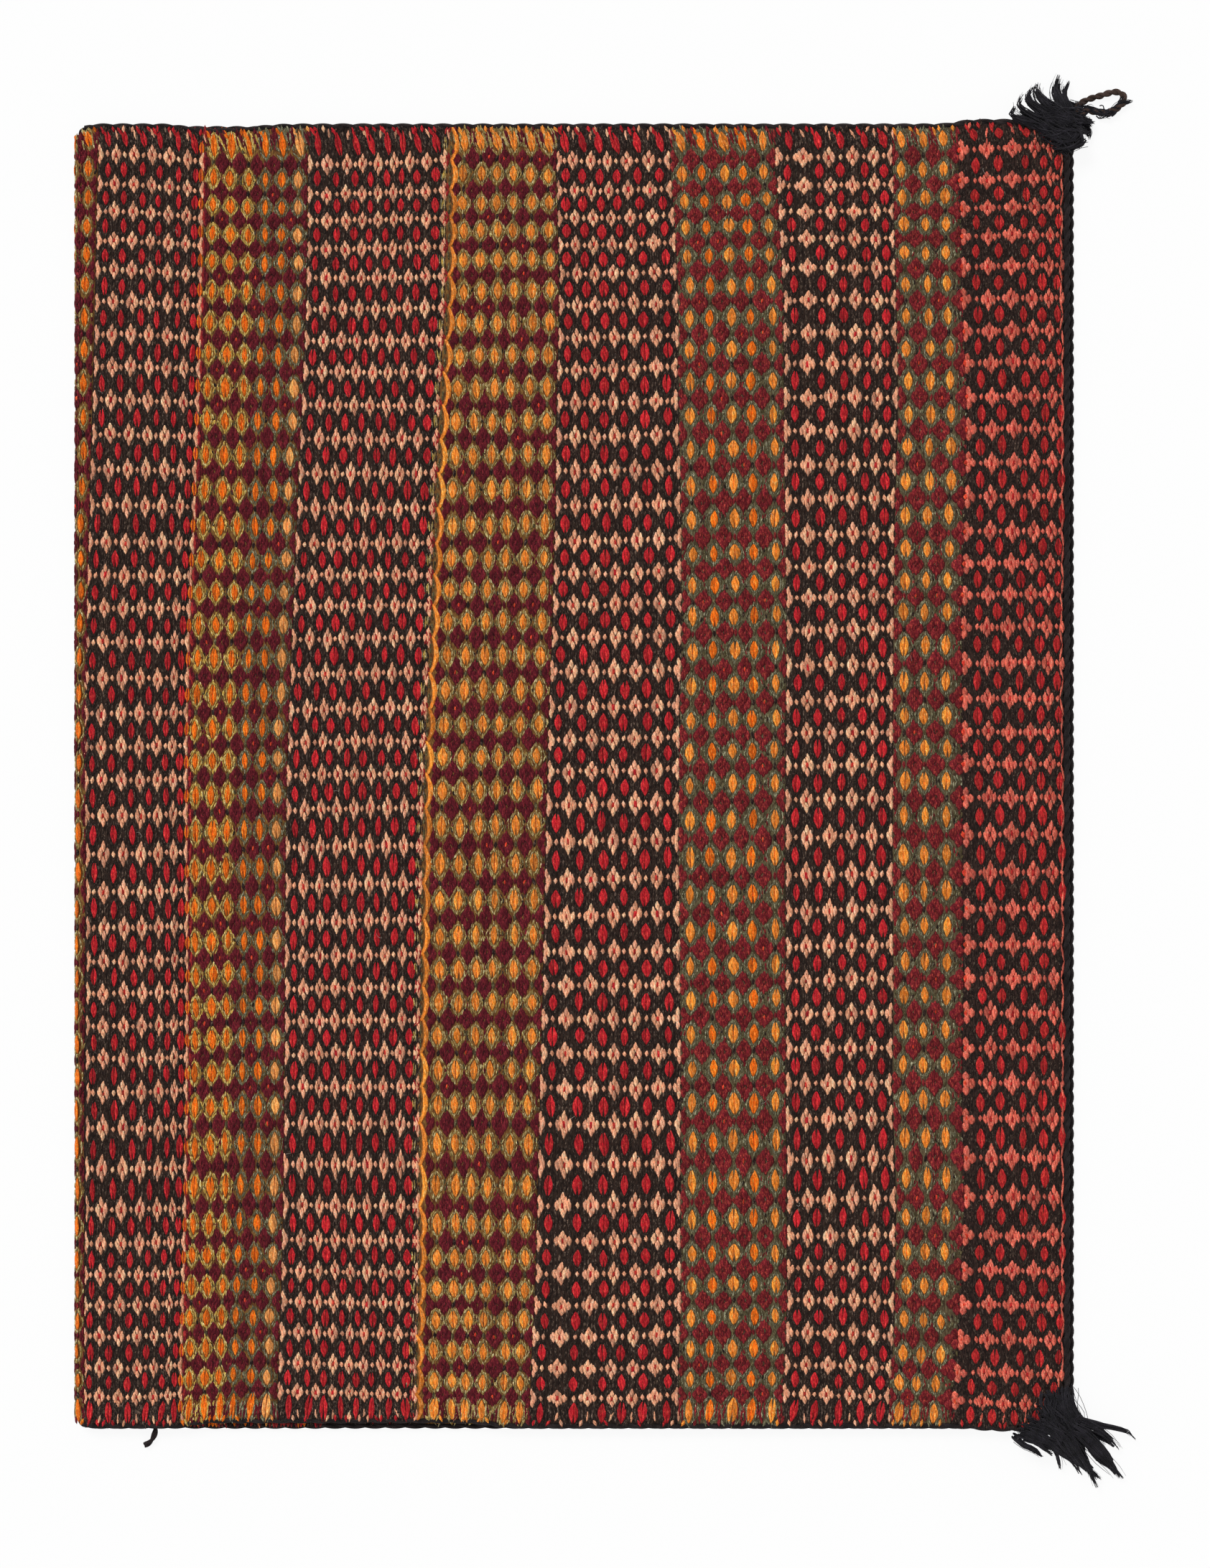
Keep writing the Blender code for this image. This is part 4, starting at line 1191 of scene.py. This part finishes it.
def cloth_slab(name, stations, thick, material):
    """A closed slab of packed wefts, rounded off at its edges.

    Each station is the side and how far along the slab it lies at each place across.
    """
    half = thick / 2
    edge = HALF_WEFT + SLAB_RIM
    rim = ((edge - 0.3 * half, 0.7 * half), (edge, 0.0), (edge - 0.3 * half, -0.7 * half))
    top = [((edge - half) * (2 * i / SLAB_ROWS - 1), half) for i in range(SLAB_ROWS + 1)]
    ring = top + list(rim) + [(a, -half) for a, _ in reversed(top)] + [(-a, o) for a, o in reversed(rim)]
    across, out = (np.array(part) for part in zip(*ring))
    points = []
    for side, reach in stations:
        at = reach(across)
        points.append(cloth_frame(side, at, across, out + swell(side, at) * np.maximum(out, 0) / half)[0])
    count = len(ring)
    last = (len(stations) - 1) * count
    faces = [(base + i, base + (i + 1) % count, base + count + (i + 1) % count, base + count + i)
             for base in range(0, last, count) for i in range(count)]
    for base in (0, last):
        low = base + 2 * SLAB_ROWS + 4
        faces += [(base + i, base + i + 1, low - i - 1, low - i) for i in range(SLAB_ROWS)]
        faces += [tuple(range(base + SLAB_ROWS, base + SLAB_ROWS + 5)), (base, low, low + 1, low + 2, low + 3)]
    piece = mesh_object(name, np.concatenate(points), faces, material)
    face_out(piece.data)
    return piece


def between(first, last, share, side=-1):
    """The reach a share of the way from one border to the next, as a function of the place across."""
    def reach(across):
        at = (1 - share) * curve_at(first, across) + share * curve_at(last, across)
        return at + drift(at, across)[0] * np.clip((PANEL_REACH - at) / 0.02, 0, 1) if side > 0 else at
    return reach


# Operators


def seen_directly(graph):
    """A socket that is 1 where the camera, a gloss or a clear surface looks straight at the background."""
    rays = graph.add("ShaderNodeLightPath").outputs
    some = graph.math("MAXIMUM", rays["Is Camera Ray"], rays["Is Glossy Ray"])
    return graph.math("MAXIMUM", some, rays["Is Transmission Ray"])


class BLANKET_OT_stage(bpy.types.Operator):
    """Set the camera, the lamps and the plain pale floor"""

    bl_idname = "blanket.stage"
    bl_label = "Stage"

    def execute(self, context):
        stage = settings("stage")
        scene = context.scene
        scene.view_settings.view_transform = "Standard"
        camera = bpy.data.cameras.new("camera")
        camera.sensor_width = 36.0
        camera.lens = camera.sensor_width * stage.distance / (PICTURE_HIGH * stage.pixel)
        camera.clip_end = 20.0
        scene.camera = add_object("camera", camera)
        height = 2 * CLOTH_THICK + FOLD_SPACE + stage.distance
        scene.camera.location = (*picture_place(PICTURE_WIDE / 2, PICTURE_HIGH / 2), height)
        scene.world = bpy.data.worlds.new("surrounding")
        scene.world.use_nodes = True
        graph = Graph(scene.world.node_tree)
        nodes = graph.tree.nodes
        for key, value in (("Color", WHITE), ("Strength", stage.world)):
            nodes["Background"].inputs[key].default_value = value
        seen = graph.add("ShaderNodeBackground", WHITE, 1.0)
        mixed = graph.add("ShaderNodeMixShader", seen_directly(graph), nodes["Background"], seen)
        graph.feed(nodes["World Output"].inputs[0], mixed)
        lamp = bpy.data.lights.new("soft_lamp", "SUN")
        lamp.energy = stage.sun
        lamp.angle = math.radians(24)
        add_object("soft_lamp", lamp).rotation_euler = (math.radians(-34), math.radians(-30), 0.0)
        self.make_floor(stage)
        return {"FINISHED"}

    def make_floor(self, stage):
        material, graph, shader = new_material("pale_floor")
        for key, value in (("Base Color", (*stage.floor, 1.0)), ("Roughness", 1.0), ("Specular IOR Level", 0.0)):
            shader[key].default_value = value
        nodes = graph.tree.nodes
        glow = graph.add("ShaderNodeEmission", WHITE, 1.0)
        share = graph.math("MULTIPLY", seen_directly(graph), 0.91)
        mixed = graph.add("ShaderNodeMixShader", share, nodes["Principled BSDF"], glow)
        graph.feed(nodes["Material Output"].inputs[0], mixed)
        side, low = 6.0, -0.0002
        corners = [(x * side, y * side, low) for x, y in ((-1, -1), (1, -1), (1, 1), (-1, 1))]
        mesh_object("floor", corners, [(0, 1, 2, 3)], material, smooth=False)


class BLANKET_OT_loop(bpy.types.Operator):
    """Twist the cord that leaves the far corner tassel as a loop"""

    bl_idname = "blanket.loop"
    bl_label = "Corner loop"

    def execute(self, context):
        middle = TASSEL_CENTRES["lower_far_tassel"]
        path = smooth_path([(middle[0] + x * MM, middle[1] + y * MM, LOOP_CORD / 2) for x, y in LOOP_ROUTE])
        wool = cord_material("loop_wool", settings("yarns").loop, 2.0)
        piece = twisted_cord("corner_loop_twist", path, cord_tree(), wool, settings("cords").loop_twist, LOOP_CORD,
                             0.58, side=UPWARDS, step=0.0007)
        hand_over(piece, "lower_far_tassel_body", "loop_cord", "corner_loop_cord")
        return {"FINISHED"}


class BLANKET_OT_bands(bpy.types.Operator):
    """Weave the nine colour bands of both layers and the one round the fold"""

    bl_idname = "blanket.bands"
    bl_label = "Colour bands"

    def execute(self, context):
        grounds = {hue: ground_material(f"ground_{hue}", *shades) for hue, shades in GROUNDS.items()}
        wool = float_material()
        templates = [float_template(*shape) for shape in FLOAT_SHAPES]
        tree = float_tree(templates)
        for layer, side, body in LAYERS:
            for number, (band, *_) in enumerate(BANDS):
                self.weave_band(layer, side, body, number, band, grounds, (tree, templates, wool))
        self.turn_fold(grounds, (tree, templates, wool))
        for template in templates:
            bpy.data.objects.remove(template)
        return {"FINISHED"}

    def weave_band(self, layer, side, body, number, band, grounds, kit):
        """One colour band of one layer: its packed wefts and the floats on both faces."""
        weave = settings("weave")
        hue, node = band.split("_")[0], f"{layer}_{band}"
        first, last = BORDERS[number:number + 2]
        stations = [(side, between(first, last, -SLAB_LAP + (1 + 2 * SLAB_LAP) * s / SLAB_STEPS, side))
                    for s in range(SLAB_STEPS + 1)]
        ground = cloth_slab(f"{node}_ground", stations, weave.ground, grounds[hue])
        columns = all_columns(side)
        groups = []
        for face in (1, -1):
            rng = np.random.default_rng(weave.seed + 100 * number + (10 if side > 0 else 20) + face)
            loom = Loom(columns, rng, side > 0 and face > 0)
            for index, column in enumerate(columns):
                if column.band == band:
                    loom.lenses(index)
                    loom.flowers(index)
                    loom.edges(index)
                    if side < 0 and face < 0:
                        loom.peeking_edge(index)
            if band in BORDER_WEAVERS:
                BORDER_WEAVERS[band](loom)
            groups.append((side, face, loom))
        floats = lay_floats(f"{node}_floats", groups, *kit, weave.seed + number)
        for part in (ground, floats):
            hand_over(part, body, f"{hue}_weft", node)

    def turn_fold(self, grounds, kit):
        """The band that turns round the fold, a living hinge between the layers."""
        weave = settings("weave")
        border, middle = BORDERS[0], (0, 0, 0)
        stations = [(-1, between(middle, border, share)) for share in (1, 0.5, 0)]
        for turn in FOLD_TURNS:
            stations.append((1, lambda a, t=turn: 0 * a + math.radians(t) * MID_RADIUS - HALF_BEND))
        stations += [(1, between(middle, border, share, 1)) for share in (0, 0.5, 1)]
        ground = cloth_slab("fold_band_ground", stations, weave.ground, grounds["gold"])
        # The inner faces and the flat seam of the opened fold are dark
        ground.data.materials.append(grounds["black"])
        for face in ground.data.polygons:
            arm_x, arm_z = min(face.center.x - FOLD_X, 0.0), face.center.z - FOLD_HEIGHT
            if face.normal.x * arm_x + face.normal.z * arm_z < 0 or abs(arm_z) < SEAM_HALF:
                face.material_index = 1
        columns = all_columns(1)
        inner = [INNER_COLUMN, *columns[len(FOLD_COLUMNS):]]
        rng = np.random.default_rng(weave.seed + 900)
        groups = []
        for side, face, row in ((1, 1, columns), (1, -1, inner), (-1, -1, inner)):
            loom = Loom(row, rng, face > 0)
            for index, column in enumerate(row):
                if column.band == "fold_band":
                    loom.lenses(index)
                    if face > 0:
                        loom.flowers(index)
                    loom.edges(index)
            groups.append((side, face, loom))
        floats = lay_floats("fold_band_floats", groups, *kit, weave.seed + 20)
        for part in (ground, floats):
            hand_over(part, None, "fold_weft", "fold_band")


class BLANKET_OT_warps(bpy.types.Operator):
    """Stretch the warps through both layers and round the fold"""

    bl_idname = "blanket.warps"
    bl_label = "Warps"

    def execute(self, context):
        tree = strand_tree()
        wool = cord_material("warp_wool", settings("yarns").warp, 1.3, 0.05)
        flat = np.linspace(0.0, PANEL_REACH - 0.0004, 13)
        for name, side, body, reach in (
                ("upper_warps", 1, "upper_panel", flat), ("fold_warps", 1, None, bend_reach(31)),
                ("lower_warps", -1, "root", flat)):
            paths = [cloth_frame(side, reach, a, 0.0)[0] for a in np.linspace(-WARP_EDGE, WARP_EDGE, WARP_COUNT)]
            thick = WARP_THICK - WARP_THINNED * np.exp(-((reach + HALF_BEND) / WARP_SEAM) ** 2)
            piece = from_paths(f"{name}_yarns", paths, tree, {"Sides": 5, "Material": wool}, [thick] * len(paths))
            hand_over(piece, body, "warp", name)
        return {"FINISHED"}


class BLANKET_OT_cords(bpy.types.Operator):
    """Twist the selvage cords along the sides, round the fold and along the open ends"""

    bl_idname = "blanket.cords"
    bl_label = "Selvage cords"

    def execute(self, context):
        cords = settings("cords")
        tree = cord_tree()
        wool = cord_material("cord_wool", settings("yarns").cord)
        per_turn = 2 * math.pi / cords.twist
        start = (PANEL_REACH + LOWER_EXTRA) * per_turn
        flat = np.linspace(0.0, PANEL_REACH, 200)
        for edge, name in ((1, "far"), (-1, "near")):
            stand = edge * (HALF_WEFT + CORD_GAP + SIDE_CORD / 2)
            for layer, side, body, reach, turn, step in (
                    ("lower", -1, "root", flat[::-1], 0.0, 0.0016),
                    ("upper", 1, "upper_panel", flat, start + 2 * HALF_BEND * per_turn, 0.0016),
                    ("fold", 1, None, bend_reach(61), start, 0.00025)):
                piece = twisted_cord(
                    f"{layer}_{name}_side_twist", cloth_frame(side, reach, stand, 0.0)[0], tree, wool, cords.twist,
                    SIDE_CORD, cords.ply_share, turn, step=step)
                hand_over(piece, body, "selvage_cord", f"{layer}_{name}_side_cord")
        for layer, side, body in LAYERS:
            x = FOLD_X + PANEL_REACH * reach_scale(side) + CORD_GAP + END_CORD / 2
            ys = np.linspace(-0.4237, 0.4237, 260)
            middle = MIDDLE_Y if side > 0 else MIDDLE_Y - LOWER_SHIFT
            path = np.stack([np.full_like(ys, x), middle + ys, np.full_like(ys, FOLD_HEIGHT + side * MID_RADIUS)], -1)
            piece = twisted_cord(f"{layer}_end_twist", path, tree, wool, cords.end_twist, END_CORD, cords.ply_share,
                                 side=UPWARDS)
            hand_over(piece, body, "selvage_cord", f"{layer}_end_cord")
        path = smooth_path([(*picture_place(px, py), z) for px, py, z in TAIL_ROUTE], 8)
        piece = twisted_cord("loose_cord_tail_twist", path, tree, wool, 0.016, 0.0039, 0.6, side=UPWARDS, step=0.0006)
        hand_over(piece, "root", "selvage_cord", "loose_cord_tail")
        return {"FINISHED"}


class BLANKET_OT_tassels(bpy.types.Operator):
    """Fray the four corner tassels into locks of black wool"""

    bl_idname = "blanket.tassels"
    bl_label = "Corner tassels"

    def execute(self, context):
        tree = strand_tree()
        wool = cord_material("tassel_wool", settings("yarns").tassel, 2.8, 0.06)
        for number, (name, locks) in enumerate(TASSEL_LOCKS.items()):
            rng = np.random.default_rng(settings("weave").seed + 50 + number)
            strands = []
            for count, spread, *route in locks:
                line = np.array(smooth_path([picture_place(px, py) for px, py in route], 4))
                for _ in range(count):
                    strands.append(self.strand(rng, name, line, spread * settings("stage").pixel))
            paths, thicks = zip(*strands)
            piece = from_paths(f"{name}_strands", paths, tree, {"Sides": 4, "Material": wool}, thicks)
            hand_over(piece, f"{name}_body", "tassel", name)
        return {"FINISHED"}

    def strand(self, rng, name, line, spread):
        """A strand that follows one lock, over the cloth's corner and down to the floor beside it."""
        layer = name.split("_")[0]
        least, more = TASSEL_TOPS[layer]
        run = np.concatenate([[0.0], np.cumsum(np.linalg.norm(np.diff(line, axis=0), axis=1))])
        fine = rng.random() < 0.3
        start, end = rng.uniform(0.0, 0.25), rng.uniform(*((0.8, 1.06) if fine else (0.72, 1.02)))
        shares = np.linspace(start, end, 8)
        at = np.stack([np.interp(shares * run[-1], run, line[:, axis]) for axis in (0, 1)], -1)
        way = np.gradient(at, axis=0)
        way /= np.linalg.norm(way, axis=1)[:, None] + 1e-9
        aside = np.stack([-way[:, 1], way[:, 0]], -1)
        lane = float(np.clip(rng.normal(0, 0.42), -0.75, 0.75))
        wave = 0.18 * np.sin(shares * rng.uniform(4, 9) + rng.uniform(0, 6.3))
        width = spread * (1.0 - (0.30 if fine else 0.76) * shares ** 1.3)
        kink = 0.0005 * np.sin(shares * rng.uniform(8, 16) + rng.uniform(0, 6.3)) * shares
        at = at + aside * ((lane + wave) * width + kink)[:, None]
        over = self.over_cloth(at, TASSEL_CENTRES[name])
        top = least + rng.uniform(0.0, 1.0) ** 1.5 * more
        low = rng.uniform(0.0010, 0.0055)
        height = np.where(over, top, top + (low - top) * np.clip((shares - 0.3) / 0.7, 0, 1))
        height = np.convolve(np.pad(height, 1, mode="edge"), (0.25, 0.5, 0.25), mode="valid")
        if layer == "upper":
            height = np.where(over, np.maximum(height, OVER_CORNER), height)
        thick = settings("cords").strand * (0.3 if fine else rng.uniform(0.7, 1.25))
        return np.column_stack([at, height]), thick * np.clip(1.25 - shares ** 3, 0.18, 1.0)

    @staticmethod
    def over_cloth(at, centre):
        """Which places come to lie over the cloth's corner anywhere in the tassel's swing."""
        over = np.zeros(len(at), bool)
        x, y = (at - centre).T
        for turn in SWING_TURNS:
            turned_x = centre[0] + x * math.cos(turn) - y * math.sin(turn)
            turned_y = centre[1] + x * math.sin(turn) + y * math.cos(turn)
            over |= (turned_x < CORNER_X) & (np.abs(turned_y - MIDDLE_Y) < CORNER_Y)
        return over


class BLANKET_OT_stray_fibres(bpy.types.Operator):
    """Scatter a few loose fibres over the cloth"""

    bl_idname = "blanket.stray_fibres"
    bl_label = "Stray fibres"

    def execute(self, context):
        rng = np.random.default_rng(settings("weave").seed + 80)
        wool = cord_material("stray_wool", (0.62, 0.56, 0.50), 1.2, 0.05)
        spots = list(FIBRE_SPOTS)
        spots += [tuple(s) for s in np.column_stack([
            rng.uniform(130, 1470, FIBRE_COUNT), rng.uniform(200, 1960, FIBRE_COUNT)])]
        height = 0.0107 + 0.0008 * np.sin(np.linspace(0, math.pi, FIBRE_POINTS))
        paths = []
        for px, py in spots:
            turn, bend = rng.uniform(0, 2 * math.pi), rng.normal(0, 0.5)
            way = turn + bend * np.arange(FIBRE_POINTS)
            steps = np.cumsum(np.stack([np.cos(way), np.sin(way)], -1) * rng.uniform(0.0006, 0.0015), axis=0)
            paths.append(np.column_stack([picture_place(px, py) + steps, height]))
        thicks = [FIBRE_THICK * np.linspace(1.0, 0.4, FIBRE_POINTS)] * len(paths)
        piece = from_paths("stray_fibres", paths, strand_tree(), {"Sides": 3, "Material": wool}, thicks)
        hand_over(piece, "upper_panel", "warp")
        return {"FINISHED"}


class BLANKET_PT_tools(bpy.types.Panel):
    """Steps of making the blanket"""

    bl_idname = "BLANKET_PT_tools"
    bl_label = "Saddle blanket"
    bl_space_type = "VIEW_3D"
    bl_region_type = "UI"
    bl_category = "Blanket"

    def draw(self, context):
        for step in STEPS:
            self.layout.operator(f"blanket.{step}")


STEPS = ("stage", "loop", "bands", "warps", "cords", "tassels", "stray_fibres")
GROUPS = {"yarns": BlanketYarns, "weave": BlanketWeave, "cords": BlanketCords, "stage": BlanketStage}
CLASSES = (*GROUPS.values(), BLANKET_OT_stage, BLANKET_OT_loop, BLANKET_OT_bands, BLANKET_OT_warps,
           BLANKET_OT_cords, BLANKET_OT_tassels, BLANKET_OT_stray_fibres, BLANKET_PT_tools)


def register():
    for cls in CLASSES:
        bpy.utils.register_class(cls)
    for name, group in GROUPS.items():
        setattr(bpy.types.Scene, f"blanket_{name}", bpy.props.PointerProperty(type=group))


def unregister():
    for name in GROUPS:
        delattr(bpy.types.Scene, f"blanket_{name}")
    for cls in reversed(CLASSES):
        bpy.utils.unregister_class(cls)


def main():
    register()
    for step in STEPS:
        getattr(bpy.ops.blanket, step)()


if __name__ == "__main__":
    main()
